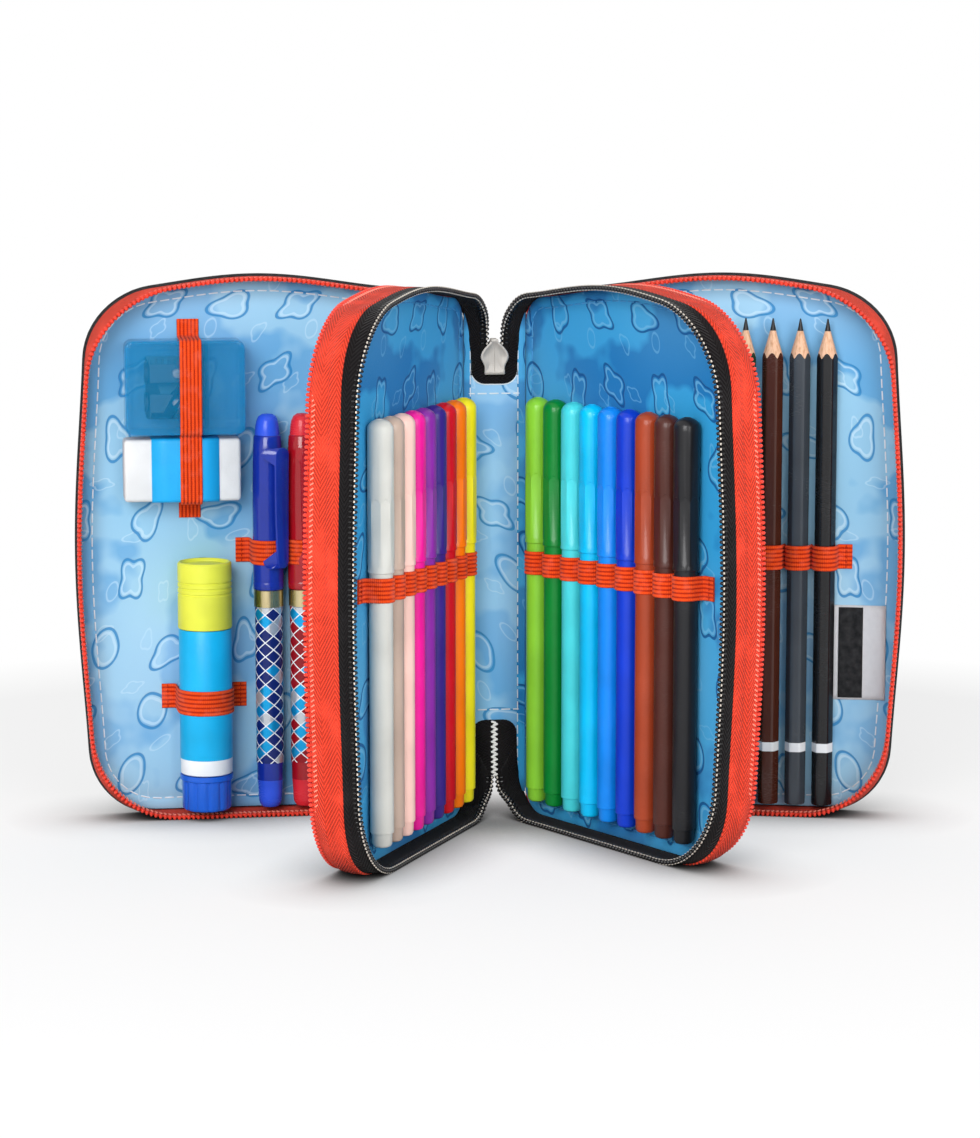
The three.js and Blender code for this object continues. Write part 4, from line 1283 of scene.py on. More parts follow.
@dataclass
class Leaves:
    """The two padded covers and the two dividers, with their linings and seams."""

    layout: Layout
    cover_thickness: float = 2.4
    lining_thickness: float = 0.5
    seam_inset: float = 5.6
    piping: float = 0.9

    def build(self) -> None:
        """Builds all four leaves."""
        for name in ("left", "right"):
            front, back, cover = (self.layout.trays[f"{name}_{part}"] for part in ("front", "back", "cover"))
            half = -self.layout.divider_thickness / 2
            self.cover(name, cover)
            self.lining(front, SHADED_DIVIDER_LINING, half, [f"{name}_divider"])
            self.lining(back, COVER_LINING, half)
            for tray in (front, back, cover):
                self.seam(tray, BLUE_STITCH if tray is front else STITCH)

    def cover(self, name: str, tray: Tray) -> None:
        """Builds one cover: a padded black shell with piping, and its lining.

        Args:
            name: Left or right.
            tray: Its tray.
        """
        back = -self.cover_thickness
        steps = [(0.3, -self.lining_thickness), (0.0, -1.0), (0.0, back + 0.5), (0.6, back)]
        steps += [(4.6, back - 0.5), (5.2, back - 0.1), (5.8, back - 0.55), (9.0, back - 1.1)]
        steps += [(14.0, back - 1.6), (22.0, back - 2.0), (36.0, back - 2.2)]
        bm = loft([LEAF.outline(inset, height) for inset, height in steps])
        flat_uv(bm)
        shell = tray.add(bm, f"{name}_cover_shell", "cover_fabric", [COVER_CLOTH], [f"{name}_cover"], 60)
        bm = sweep(stations(LEAF.rim(0.4, 0, 0.4 + back), INWARD), circle(self.piping, 8))
        run_uv(bm)
        tray.add(bm, f"{name}_cover_piping", "cover_fabric", [RIBBON_EDGE])
        self.lining(tray, COVER_LINING, -self.lining_thickness)

    def lining(self, tray: Tray, finish: Finish, back: float, replaces: Sequence[str] = ()) -> None:
        """Builds a printed lining sheet on a leaf's face, with a groove where it is sewn.

        Args:
            tray: The tray that it lines.
            finish: Its print.
            back: Where its hidden face lies in Y.
            replaces: CAD nodes that it stands for.
        """
        steps = [(1.45, back), (1.45, -0.25), (1.7, -0.05), (4.8, 0.0), (5.3, -0.3), (5.9, -0.3), (6.7, 0.0)]
        steps += [(12.0, 0.1), (24.0, 0.18), (40.0, 0.2)]
        bm = loft([LEAF.outline(inset, height) for inset, height in steps])
        flat_uv(bm)
        tray.add(bm, f"{tray.name}_lining", "lining", [finish], replaces, 60)

    def seam(self, tray: Tray, thread: Finish) -> None:
        """Sews the row of dashes round a lining.

        Args:
            tray: The tray.
            thread: The thread's finish.
        """
        bm = bmesh.new()
        points = LEAF.rim(self.seam_inset, 0, -0.2)
        Stitches().row(bm, points)
        Stitches().row(bm, spaced([points[-1], points[0]], 2.0)[1:-1])
        tray.add(bm, f"{tray.name}_seam", "lining", [thread])


@dataclass
class Zips:
    """Six zip halves round the leaves: woven tape with a row of nylon coil at its rim."""

    layout: Layout
    tape_inset: float = 0.5
    tape_thickness: float = 0.8
    corner_draw: float = 7.0
    parting: float = 0.3
    coil_inset: float = 0.75
    tooth_pitch: float = 1.75
    tooth_width: float = 1.2
    edge_cover: float = -0.95
    cover_edge: float = -0.45
    spine_draw: float = 4.0
    cut: int = 6
    wrap_share: float = 0.27
    wrap_taper: float = 14.0
    lap: float = 0.35
    rows: int = 7

    def build(self) -> None:
        """Builds the six halves."""
        for name in ("left", "right"):
            for tray_name, node, look in (
                (f"{name}_front", f"middle_zip_{name}_half", BLACK_ZIP),
                (f"{name}_back", f"{name}_zip_divider_half", RED_ZIP),
                (f"{name}_cover", f"{name}_zip_cover_half", RED_ZIP),
            ):
                tray = self.layout.trays[tray_name]
                self.tape(tray, node, look)
                bm = bmesh.new()
                line = spaced(self.crest(tray), self.tooth_pitch)
                scatter(bm, self.tooth(look), stations(line, INWARD))
                tray.add(bm, f"{node}_coil", look.slot, [look.coil, look.thread])

    def ring(self, tray: Tray, share: float) -> list[Vector]:
        """One line of the tape, from 0 at the leaf's edge to 1 under the coil, drawn in at the corners.

        Args:
            tray: The tray that the tape walls.
            share: Which line.

        Returns:
            Its points, from the foot of the spine to its head.
        """
        low = self.cover_edge if tray.name.endswith("cover") else self.edge_cover
        top = tray.depth - self.parting - self.tooth_width
        inset = self.tape_inset - 0.35 * math.sin(math.pi * share)
        bend = share ** 1.5
        return LEAF.rim(
            inset, self.corner_draw * bend, low + (top - low) * share, self.spine_draw * bend, self.cut,
        )

    def crest(self, tray: Tray) -> list[Vector]:
        """The line that the coil follows."""
        return LEAF.rim(self.coil_inset, self.corner_draw, tray.depth - self.parting, self.spine_draw, self.cut)

    def tape(self, tray: Tray, node: str, look: ZipLook) -> None:
        """Raises the tape from the leaf's edge.

        Args:
            tray: The tray that it walls.
            node: The CAD node that it stands for.
            look: What the zip is made of.
        """
        rings = [self.ring(tray, row / self.rows) for row in range(self.rows + 1)]
        count = len(rings[0])
        rings = [spaced(line, run_length(line) / (count - 1))[:count] for line in rings]
        if tray.name.endswith("back"):
            rings = self.wrapped(tray, count) + rings
        bm = loft(rings, closed=False)
        outer = max(bm.faces, key=lambda face: face.calc_center_median().x)
        if outer.normal.x < 0:
            bmesh.ops.reverse_faces(bm, faces=bm.faces)
        run_uv(bm, turned=True)
        give_wall(tray.add(bm, f"{node}_tape", look.slot, [look.tape], [node], 70), self.tape_thickness)

    def wrapped(self, tray: Tray, count: int) -> list[list[Vector]]:
        """Lines of the red tape where it is sewn over the divider's edge, tapered towards the spine.

        Args:
            tray: The back tray that the tape walls.
            count: How many points each line has.

        Returns:
            The lines, from the tape's edge to the tray.
        """
        front = self.layout.trays[tray.name.replace("back", "front")]
        reach = self.wrap_share * front.depth + self.layout.divider_thickness
        line = LEAF.rim(self.tape_inset - self.lap, 0.0, self.edge_cover, 0.0, self.cut)
        step = run_length(line) / (count - 1)
        line = spaced(line, step)[:count]
        drops = [min(1.0, min(index, count - 1 - index) * step / self.wrap_taper) for index in range(count)]
        return [
            [point - Vector((0, reach * share * drop, 0)) for point, drop in zip(line, drops)]
            for share in (1.0, 0.7, 0.4, 0.1)
        ]

    def tooth(self, look: ZipLook) -> BMesh:
        """One turn of the coil: a head over the rim, a leg behind it and stitches of its thread on both faces, painted
        pale for highlight too.

        Args:
            look: What the zip is made of.

        Returns:
            The mesh.
        """
        bm = bmesh.new()
        head = rounded_box((1.65, 1.75, self.tooth_width), 0.42, 1)
        leg = rounded_box((1.2, 1.55, self.tooth_width * 0.9), 0.36, 1)
        scatter(bm, head, [Matrix.Translation((0.05, -0.9, 0.0))])
        scatter(bm, leg, [Matrix.Translation((0.1, -2.45, 0.12))])
        lean = Matrix.Rotation(look.stitch_lean, 4, "X")
        places = [Matrix.Translation((x, look.stitch_back, 0.0)) @ lean for x in look.stitch_levels]
        # The thread's stitches are painted pale, so that besides the thread they give the coil's two rows of highlight.
        scatter(bm, rounded_box(look.stitch, 0.0, 1), places, 1)
        return bm


@dataclass(frozen=True)
class LinkEnd:
    """How the zips run on to one end of a strip.

    The tape meets the strip between two levels, at its outer edge and under the coil, and the coils stop
    at a gap from the middle. Pull is how long the curve holds its way, up or down.
    """

    name: str
    way: int
    gap: float
    edge_level: float
    coil_level: float
    pull: float


@dataclass
class Links:
    """The zips between the leaves' rims and the strips' closed ends, and the folds over the hinge lines."""

    layout: Layout
    ends: tuple[LinkEnd, ...] = (
        LinkEnd("head", 1, gap=2.6, edge_level=165.5, coil_level=175.6, pull=0.42),
        LinkEnd("foot", -1, gap=0.75, edge_level=27.0, coil_level=14.0, pull=0.5),
    )
    end_width: float = 8.4
    surface: float = -0.78
    rows: int = 7
    fold_reach: float = 1.7
    fold_low: float = 8.6
    fold_high: float = 186.6
    fold_steps: int = 24
    fold_cloth: float = 0.25
    fold_middle: float = 97.0

    def build(self) -> None:
        """Builds the links and folds of the three compartments."""
        for name, near, far, look, lining in (
            ("middle", "left_front", "right_front", BLACK_ZIP, SHADED_DIVIDER_LINING),
            ("left", "left_cover", "left_back", RED_ZIP, COVER_LINING),
            ("right", "right_back", "right_cover", RED_ZIP, COVER_LINING),
        ):
            for tray_name in (near, far):
                strip, tray = self.layout.strips[name], self.layout.trays[tray_name]
                for end in self.ends:
                    self.link(strip, tray, end, look)
                self.fold(strip, tray, lining)

    def bend(self, first: Vector, ring: Sequence[Vector], into: Matrix, end: LinkEnd, steps: int) -> list[Vector]:
        """Leads a line from the strip to the end of one of the leaf's zip lines, smooth at both ends.

        Args:
            first: Where it starts on the strip.
            ring: The leaf's zip line, in the leaf's tray.
            into: From the tray to the strip.
            end: Which end it is.
            steps: Its number of steps.

        Returns:
            Its points.
        """
        last, before = (ring[-1], ring[-2]) if end.way > 0 else ring[:2]
        away = into.to_3x3() @ (last - before).normalized()
        last = into @ last
        span = (last - first).length
        lead = first + Vector((0, 0, end.way)) * span * end.pull
        return curve_between(first, lead, last + away * span * 0.3, last, steps)

    def link(self, strip: Tray, tray: Tray, end: LinkEnd, look: ZipLook) -> None:
        """Joins one leaf's zip to one end of the strip.

        Args:
            strip: The strip.
            tray: The leaf's tray.
            end: Which end it is.
            look: What the zip is made of.
        """
        into = strip.frame().inverted() @ tray.frame()
        side = math.copysign(1, into.translation.x)
        zips = Zips(self.layout)
        lines = []
        for row in range(self.rows + 1):
            share = row / self.rows
            x = side * (self.end_width + (end.gap - self.end_width) * share)
            first = Vector((x, self.surface, end.edge_level + (end.coil_level - end.edge_level) * share))
            lines.append(self.bend(first, zips.ring(tray, share), into, end, 16))
        bm = sheet([list(ring) for ring in zip(*lines)], -1)
        run_uv(bm)
        name = f"{tray.name}_zip_{end.name}_link"
        made = Piece(name, look.slot, [look.tape], sharp=70).make(bm, strip.frame())
        give_wall(made, zips.tape_thickness)
        start, stop = (strip.frame() @ lines[self.rows // 2][at] for at in (0, -1))
        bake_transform(made, strip.body, tray.body, start=tuple(start), end=tuple(stop))
        near = Vector((side * (end.gap - zips.tooth_width / 2), self.surface - 0.1, end.coil_level))
        line = spaced(self.bend(near, zips.crest(tray), into, end, 24), zips.tooth_pitch)
        flat = Vector((-side, 0, 0))
        upright = into.to_3x3() @ INWARD
        frames = []
        for index in range(len(line)):
            outward = flat.lerp(upright, index / (len(line) - 1)).normalized()
            frames.append(stations(line[max(index - 1, 0):index + 2], outward)[min(index, 1)])
        bm = bmesh.new()
        scatter(bm, zips.tooth(look), frames)
        made = Piece(f"{name}_coil", look.slot, [look.coil, look.thread]).make(bm, strip.frame())
        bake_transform(made, strip.body, tray.body, start=tuple(start), end=tuple(stop))

    def fold(self, strip: Tray, tray: Tray, lining: Finish) -> None:
        """Lays a cloth fold over one hinge line, on the inside.

        Args:
            strip: The strip.
            tray: The leaf's tray.
            lining: The finish of its inner face.
        """
        into = strip.frame().inverted() @ tray.frame()
        side = math.copysign(1, into.translation.x)
        edge = into.translation.copy()
        rings = []
        for step in range(self.fold_steps + 1):
            z = self.fold_low + (self.fold_high - self.fold_low) * step / self.fold_steps
            first = Vector((side * (abs(edge.x) - self.fold_reach - 0.4), -0.12, z))
            middle = Vector((edge.x, edge.y - 0.25 - 0.12 * math.sin(step * 1.9), z))
            last = into @ Vector((self.fold_reach, 0.12, z))
            rings.append(curve_between(first, first.lerp(middle, 0.8), last.lerp(middle, 0.8), last, 8))
        bm = sheet(rings, -1)
        run_uv(bm, turned=True)
        made = Piece(f"{tray.name}_hinge_fold", "lining", [lining, COVER_CLOTH], sharp=80).make(bm, strip.frame())
        give_wall(made, self.fold_cloth, 1)
        start = strip.frame() @ Vector((side * (abs(edge.x) - 0.6), 0, self.fold_middle))
        stop = strip.frame() @ (into @ Vector((0.6, 0, self.fold_middle)))
        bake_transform(made, strip.body, tray.body, start=tuple(start), end=tuple(stop))


@dataclass
class Strips:
    """The three spine strips with their closed zip ends."""

    layout: Layout
    width: float = 20.0
    foot: float = 16.3
    head: float = 177.7
    thickness: float = 1.2
    end_width: float = 16.8
    end_round: float = 5.0
    head_height: float = 17.0
    foot_height: float = 19.4
    foot_drop: float = 1.6
    notch_width: float = 5.4
    notch_drop: float = 8.4
    tape: float = 0.85
    tape_front: float = -0.75
    tooth_pitch: float = 0.95
    tooth_lean: float = 0.35
    chain_top: float = 0.8
    chain_low: float = 13.4
    ear_low: float = 8.9
    ear_high: float = 186.2

    def build(self) -> None:
        """Builds the strips."""
        self.strip("middle", BLACK_ZIP, STRIP_LINING, 0.0, ["middle_zip_head_end"], ["middle_zip_foot_end"])
        for name in ("left", "right"):
            self.strip(name, RED_ZIP, COVER_LINING, 0.3, (), ())

    def strip(
        self, name: str, look: ZipLook, lining: Finish, extra: float, head: Sequence[str], foot: Sequence[str],
    ) -> None:
        """Builds one strip.

        Args:
            name: Its compartment.
            look: What the zip is made of.
            lining: Finish of its inner face.
            extra: How much wider it is on each side.
            head: CAD nodes that the zip's head end stands for.
            foot: CAD nodes that the zip's foot end stands for.
        """
        tray = self.layout.strips[name]
        half = self.width / 2 + extra
        notch = self.head - self.notch_drop
        gap = self.notch_width / 2
        bm = panel(half - 0.1, (self.foot, notch), (0.0, self.thickness), 0.6)
        arm = panel((half - gap) / 2, (notch - 0.5, self.head), (0.05, self.thickness - 0.05), 0.6)
        ear = panel(1.1, (self.ear_low, self.ear_high), (0.1, self.thickness - 0.1), 0.6)
        for part, x in ((arm, (half + gap) / 2), (ear, half - 1.2)):
            scatter(bm, part, [Matrix.Translation((side * x, 0, 0)) for side in (-1, 1)])
        choose(bm, 1, lambda y: y > self.thickness - 0.3, axis=1)
        flat_uv(bm)
        tray.add(bm, f"{name}_strip_cloth", "lining", [lining, COVER_CLOTH], [f"{name}_spine_strip"], 60)
        self.head_end(name, tray, look, head)
        self.foot_end(name, tray, look, foot)
        self.seams(name, tray)
        for side, x in (("low", -half + 0.6), ("high", half - 0.6)):
            ends = [Vector((x, self.thickness + 0.1, z)) for z in (self.foot + 0.8, self.head - 0.8)]
            bm = sweep(stations(spaced(ends, 6.0), INWARD), circle(0.5, 10))
            run_uv(bm)
            tray.add(bm, f"{name}_strip_piping_{side}", "cover_fabric", [RIBBON_EDGE])

    def head_end(self, name: str, tray: Tray, look: ZipLook, nodes: Sequence[str]) -> None:
        """Builds the U of tape round the slider: two arms and a rounded foot.

        Args:
            name: The compartment.
            tray: The strip.
            look: What the zip is made of.
            nodes: CAD nodes that it stands for.
        """
        half = self.end_width / 2
        low = self.head - self.head_height
        notch = self.notch_width / 2
        line = [Vector((-half, 0, self.head)), Vector((-half, 0, low + self.end_round + 0.01))]
        for step in range(13):
            turn = math.radians(180 + step * 7.5)
            x, z = (self.end_round + self.end_round * part for part in (math.cos(turn), math.sin(turn)))
            line.append(Vector((-half + x, 0, low + z)))
        line += [Vector((-point.x, 0, point.z)) for point in reversed(line)]
        outer = spaced(line, 1.4)
        inner = []
        for step, point in enumerate(outer):
            share = min(step, len(outer) - 1 - step) / (len(outer) - 1)
            drop = self.notch_drop * (min(1.0, 3.2 * share) if abs(point.x) > notch else 1.0)
            inner.append(Vector((min(max(point.x, -notch), notch), 0, self.head - drop)))
        section = ((0.0, 0.1), (0.0, -0.55), (0.06, -0.75), (0.5, -0.8), (0.94, -0.75), (1.0, -0.55), (1.0, 0.1))
        for face, way, rest, stands in (("inner", 1, 0.0, nodes), ("outer", -1, self.thickness, ())):
            bm = loft([
                [a.lerp(b, share) + Vector((0, rest + level * way, 0)) for a, b in zip(outer, inner)]
                for share, level in section
            ], closed=False)
            flat_uv(bm)
            tray.add(bm, f"{name}_zip_head_{face}_tape", look.slot, [look.tape], stands, 50)
        bm = panel(half + 0.5, (low - 0.5, self.head - self.notch_drop), (-0.3, 0.1), self.end_round + 0.5)
        flat_uv(bm)
        tray.add(bm, f"{name}_zip_head_edge", "lining", [STITCH], (), 50)

    def foot_end(self, name: str, tray: Tray, look: ZipLook, nodes: Sequence[str]) -> None:
        """Builds the rounded patch of tape at the foot with the closed teeth on it.

        Args:
            name: The compartment.
            tray: The strip.
            look: What the zip is made of.
            nodes: CAD nodes that it stands for.
        """
        high = self.foot + self.foot_height
        rise = (self.foot - self.foot_drop, high)
        for side, front, stands in (("inner", self.tape_front, nodes), ("outer", self.thickness, ())):
            bm = panel(self.end_width / 2, rise, (front, front + self.tape), self.end_round)
            flat_uv(bm)
            tray.add(bm, f"{name}_zip_foot_{side}_tape", look.slot, [look.tape], stands, 50)
        frames = []
        top = high - self.chain_top
        for step in range(int((top - self.chain_low) / self.tooth_pitch)):
            lean = self.tooth_lean if step % 2 else -self.tooth_lean
            for level in (-1.05, self.thickness + 1.15):
                place = Matrix.Translation((lean * 0.9, level, top - step * self.tooth_pitch))
                frames.append(place @ Matrix.Rotation(-lean, 4, "Y"))
        bm = bmesh.new()
        scatter(bm, rounded_box((2.1, 0.9, 0.85), 0.28, 1), frames)
        # For the black zip these closed teeth carry a near-white painted reflection.
        tray.add(bm, f"{name}_closed_teeth", look.slot, [look.closed])

    def seams(self, name: str, tray: Tray) -> None:
        """Sews the dashes beside the zip ends and along the strip's sides.

        Args:
            name: The compartment.
            tray: The strip.
        """
        bm = bmesh.new()
        half = self.width / 2 - 1.2
        low, high = self.foot + 2, self.head - 2
        head, foot = self.head - self.head_height - 3.6, self.foot + self.foot_height + 3.8
        for first, last in (
            ((-half, head), (half, head)), ((-half, foot), (half, foot)),
            ((-half, low), (-half, high)), ((half, low), (half, high)),
        ):
            Stitches().row(bm, [Vector((x, -0.05, z)) for x, z in (first, last)], -INWARD)
        tray.add(bm, f"{name}_strip_seams", "lining", [STITCH])


@dataclass
class Sliders:
    """The three zip sliders and their pulls."""

    layout: Layout
    foot: float = 164.2
    length: float = 13.0
    head_half: float = 5.15
    tail_half: float = 3.75
    nub_half: float = 1.3
    nub_length: float = 1.1
    plate: float = 0.8
    inner: float = -2.15
    outer: float = 2.3
    bail_foot: float = 166.2
    bail_length: float = 5.0
    bail_half: float = 1.1
    bail_bar: float = 0.434
    bail_rise: float = 2.1
    pull_low: float = 152.15
    pull_high: float = 168.6
    pull_half: float = 3.5
    pull_inner: float = 3.35
    pull_thickness: float = 0.9
    eye_drop: float = 2.4
    eye_half: float = 1.6
    eye_height: float = 1.7
    tip: float = 3.0

    def build(self) -> None:
        """Builds the sliders and pulls."""
        for name in ("middle", "left", "right"):
            place = self.layout.strips[name].frame()
            for part, bm in (("slider_body", self.slider()), ("pull_plate", self.pull())):
                body = f"{name}_{part.split('_')[0]}"
                Piece(f"{name}_{part}", "zinc", [ZINC], [f"{name}_zip_{part.split('_')[0]}"], 35).make(bm, place, body)

    def shield(self, low: float, high: float, outward: bool) -> BMesh:
        """One plate of a slider, with a raised rim round a sunk field.

        Args:
            low: Its lower face in Y.
            high: Its upper face in Y.
            outward: Whether the dressed face is the upper one.

        Returns:
            The mesh.
        """
        tail, head, nub, top = self.tail_half, self.head_half, self.nub_half, self.length
        crown = top - self.nub_length
        half = [(0.0, 0.0), (tail - 0.3, 0.0), (tail, 0.3), (tail - 0.05, 2.7), (tail + 0.35, 3.8)]
        half += [(head - 0.45, 5.0), (head - 0.05, 6.0), (head, 6.5), (head - 0.15, 7.5), (head - 0.6, 8.5)]
        half += [(head - 1.4, 9.6), (head - 2.5, 10.8), (nub + 0.35, crown - 0.1)]
        half += [(nub, crown + 0.2), (nub, top - 0.3), (nub - 0.3, top), (0.0, top)]
        ring = half[:-1] + [(-x, z) for x, z in reversed(half)][:-1]
        show, hide = (high, low) if outward else (low, high)
        dip = 0.12 if outward else -0.12
        centre = top * 0.52
        return loft([
            [Vector((x * scale, level, self.foot + centre + (z - centre) * scale)) for x, z in ring]
            for scale, level in (
                (1.0, hide), (1.0, show - dip * 0.9), (0.95, show), (0.83, show), (0.78, show - dip), (0.3, show - dip),
            )
        ])

    def slider(self) -> BMesh:
        """One slider: two plates, the post and flanges between them, and the bail outside.

        Returns:
            The mesh.
        """
        face = self.outer + self.plate
        bm = self.shield(self.inner, self.inner + self.plate, False)
        scatter(bm, self.shield(self.outer, face, True), [Matrix()])
        foot = self.foot
        flange = (0.7, 1.0, 5.2), 0.2, 2
        crease = (0.22, 0.24, self.length * 0.66), 0.0, 1
        sides = self.tail_half - 0.35
        for shape, place in (
            (((2.4, self.outer - self.inner, 2.6), 0.5, 2), (0, (self.inner + face) / 2, foot + 10.7)),
            (crease, (0, self.inner, foot + self.length * 0.42)),
            (crease, (0, face, foot + self.length * 0.42)),
            (flange, (-sides, self.inner + 1.0, foot + 2.8)),
            (flange, (sides, self.inner + 1.0, foot + 2.8)),
        ):
            scatter(bm, rounded_box(*shape), [Matrix.Translation(place)])
        arc = []
        for step in range(15):
            turn = math.pi * step / 14
            y = face - 0.2 + self.bail_rise * math.sin(turn) ** 0.7
            arc.append(Vector((0, y, self.bail_foot + self.bail_length * (0.5 - 0.5 * math.cos(turn)))))
        bar = circle(self.bail_bar, 10, self.bail_half / self.bail_bar)
        scatter(bm, sweep(stations(arc, Vector((1, 0, 0))), bar), [Matrix()])
        return bm

    def pull(self) -> BMesh:
        """One pull: a plate with an eye, a sunk grip and a rounded tip.

        Returns:
            The mesh.
        """
        middle = Vector((0, 0, self.pull_high - self.eye_drop))
        below = self.pull_high - self.pull_low - self.eye_drop
        low = self.pull_low + self.tip
        outer, eye = [], []
        for x, z in circle(1.0, 40):
            eye.append(middle + Vector((self.eye_half * x, 0, self.eye_height * z)))
            reach = min(
                self.pull_half / max(abs(x), 1e-6), (self.eye_drop if z > 0 else below) / max(abs(z), 1e-6),
            )
            point = middle + Vector((x * reach, 0, z * reach))
            if point.z < low:
                drop = (low - point.z) / self.tip
                point.x *= math.sqrt(max(0.0, 1 - 0.75 * drop * drop))
            if point.z > self.pull_high - 1.0:
                point.x *= 0.88
            outer.append(point)
        back, face = self.pull_inner, self.pull_inner + self.pull_thickness
        bm = tube([
            [e.lerp(o, share) + Vector((0, level, 0)) for e, o in zip(eye, outer)]
            for share, level in (
                (0.0, back), (0.0, face), (0.35, face + 0.1), (0.9, face), (1.0, face - 0.2), (1.0, back + 0.2),
                (0.93, back), (0.0, back),
            )
        ])
        bmesh.ops.recalc_face_normals(bm, faces=bm.faces)
        return bm


@dataclass
class Elastics:
    """Ribbed elastics that pass over the contents and are sewn down between them."""

    layout: Layout
    thickness: float = 0.6
    gap: float = 0.1
    ribs: int = 6
    tab: float = 5.6
    base: float = 0.35
    strap_along: float = 87.2
    strap_width: float = 8.2
    eraser_top: float = 13.5
    box_top: float = 15.9

    def build(self) -> None:
        """Builds the five loops and the upright strap."""
        left = [(14.4 + 9.9 * index, 4.9, 4.15) for index in range(9)]
        right = [(16.2 + 10.8 * index, 4.9, 4.15) for index in range(9)]
        pens = [(45.9, 6.0, 5.7), (58.8, 6.0, 5.7)]
        pencils = [(70.3 + 10 * index, 4.3, 4.0) for index in range(4)]
        self.loops("felt_elastic_left", "left_front", left, 97.6, 8.8, 1.8)
        self.loops("felt_elastic_right", "right_front", right, 97.6, 8.8, 1.4)
        self.loops("pen_elastic", "left_cover", pens, 98.6, 9.4, 0.0)
        self.loops("pencil_elastic", "right_cover", pencils, 96.2, 9.4, 0.0)
        self.loops("glue_elastic", "left_cover", [(82.7, 10.25, 9.7)], 44.4, 9.4, 0.0)
        self.strap()

    def band(self, name: str, tray: Tray, line: Sequence[Vector], side: Vector, width: float) -> None:
        """Sweeps the ribbed section of an elastic along a line.

        Args:
            name: The CAD node that it stands for.
            tray: The tray that it is sewn to.
            line: Its middle.
            side: The direction of its width.
            width: Its width.
        """
        half = self.thickness / 2
        points = [(-half, width / 2 - 0.3), (-half, 0.0), (-half, -width / 2 + 0.3)]
        painted_rib_light = [0.8, 0.8, 0.8]
        pitch = width / self.ribs
        for rib in range(self.ribs):
            low = -width / 2 + rib * pitch
            # The third value is painted light: 0 puts painted shade in the groove, 1 leaves the rib's top lit.
            for share, rise, painted_brightness in (
                (0.08, 0.0, 0.0), (0.25, 0.75, 0.8), (0.5, 1.0, 1.0), (0.75, 0.75, 0.8), (0.92, 0.0, 0.0),
            ):
                points.append((half - 0.28 + 0.36 * rise, low + pitch * share))
                painted_rib_light.append(painted_brightness)
        bm = sweep(stations(line, side), points, painted_rib_light)
        run_uv(bm)
        tray.add(bm, f"{name}_band", "elastic", [ELASTIC], [name], 60)

    def loops(
        self, name: str, tray_name: str, items: Sequence[tuple[float, float, float]], level: float, width: float,
        slope: float,
    ) -> None:
        """Builds one elastic over a row of items, with both its tabs sewn down.

        Args:
            name: The CAD node that it stands for.
            tray_name: The tray that it is sewn to.
            items: Place, depth and radius of each item.
            level: Its middle in Z.
            width: Its width.
            slope: How much higher its free end is than its spine end.
        """
        tray = self.layout.trays[tray_name]
        half = self.thickness / 2
        floor = self.base + half
        start = items[0][0] - items[0][2] - self.gap - half
        stop = items[-1][0] + items[-1][2] + self.gap + half
        points = [(start - self.tab, floor), (start - 1.2, floor), (start - 0.3, floor + 0.6)]
        for index, (x, depth, radius) in enumerate(items):
            reach = radius + self.gap + half
            for step in range(17):
                turn = math.pi * (1 - step / 16)
                points.append((x + reach * math.cos(turn), depth + reach * math.sin(turn)))
            if index < len(items) - 1:
                middle = (x + items[index + 1][0]) / 2
                sink = max(floor, depth - radius * 0.75)
                points += [(middle - 0.12, (depth + sink) / 2), (middle, sink), (middle + 0.12, (depth + sink) / 2)]
        points += [(stop + 0.3, floor + 0.6), (stop + 1.2, floor), (stop + self.tab, floor)]
        centre = (start + stop) / 2
        line = [Vector((x, y, level + slope * (x - centre) / (stop - start))) for x, y in points]
        self.band(name, tray, spaced(line, 0.75), UPWARD, width)
        bm = bmesh.new()
        y = floor + half + 0.12
        for lift, (first, second) in ((-slope / 2, points[:2]), (slope / 2, points[-2:])):
            x = (first[0] + second[0]) / 2
            row = [Vector((x, y, level + lift + end)) for end in (1 - width / 2, width / 2 - 1)]
            Stitches(length=1.3, pitch=1.9, width=0.35, height=0.3).row(bm, row)
        tray.add(bm, f"{name}_tacks", "elastic", [ELASTIC])

    def strap(self) -> None:
        """Builds the upright strap over the eraser and the sharpener box."""
        half = self.thickness / 2
        low = self.base + half
        eraser = self.eraser_top + half + self.gap
        box = self.box_top + half + self.gap
        points = [
            (111.0, low), (116.4, low), (117.3, low + 0.8), (117.5, eraser - 1.4), (118.6, eraser),
            (130.0, eraser + 0.1), (141.2, eraser), (142.2, eraser - 0.5), (142.7, eraser + 0.2), (142.9, box - 1.2),
            (143.8, box), (160.0, box + 0.1), (176.4, box), (177.5, box - 1.2), (177.7, low + 0.8), (178.6, low),
            (184.2, low),
        ]
        line = spaced([Vector((self.strap_along, y, z)) for z, y in points], 0.8)
        tray = self.layout.trays["left_cover"]
        self.band("sharpener_strap", tray, line, Vector((-1, 0, 0)), self.strap_width)


# The contents


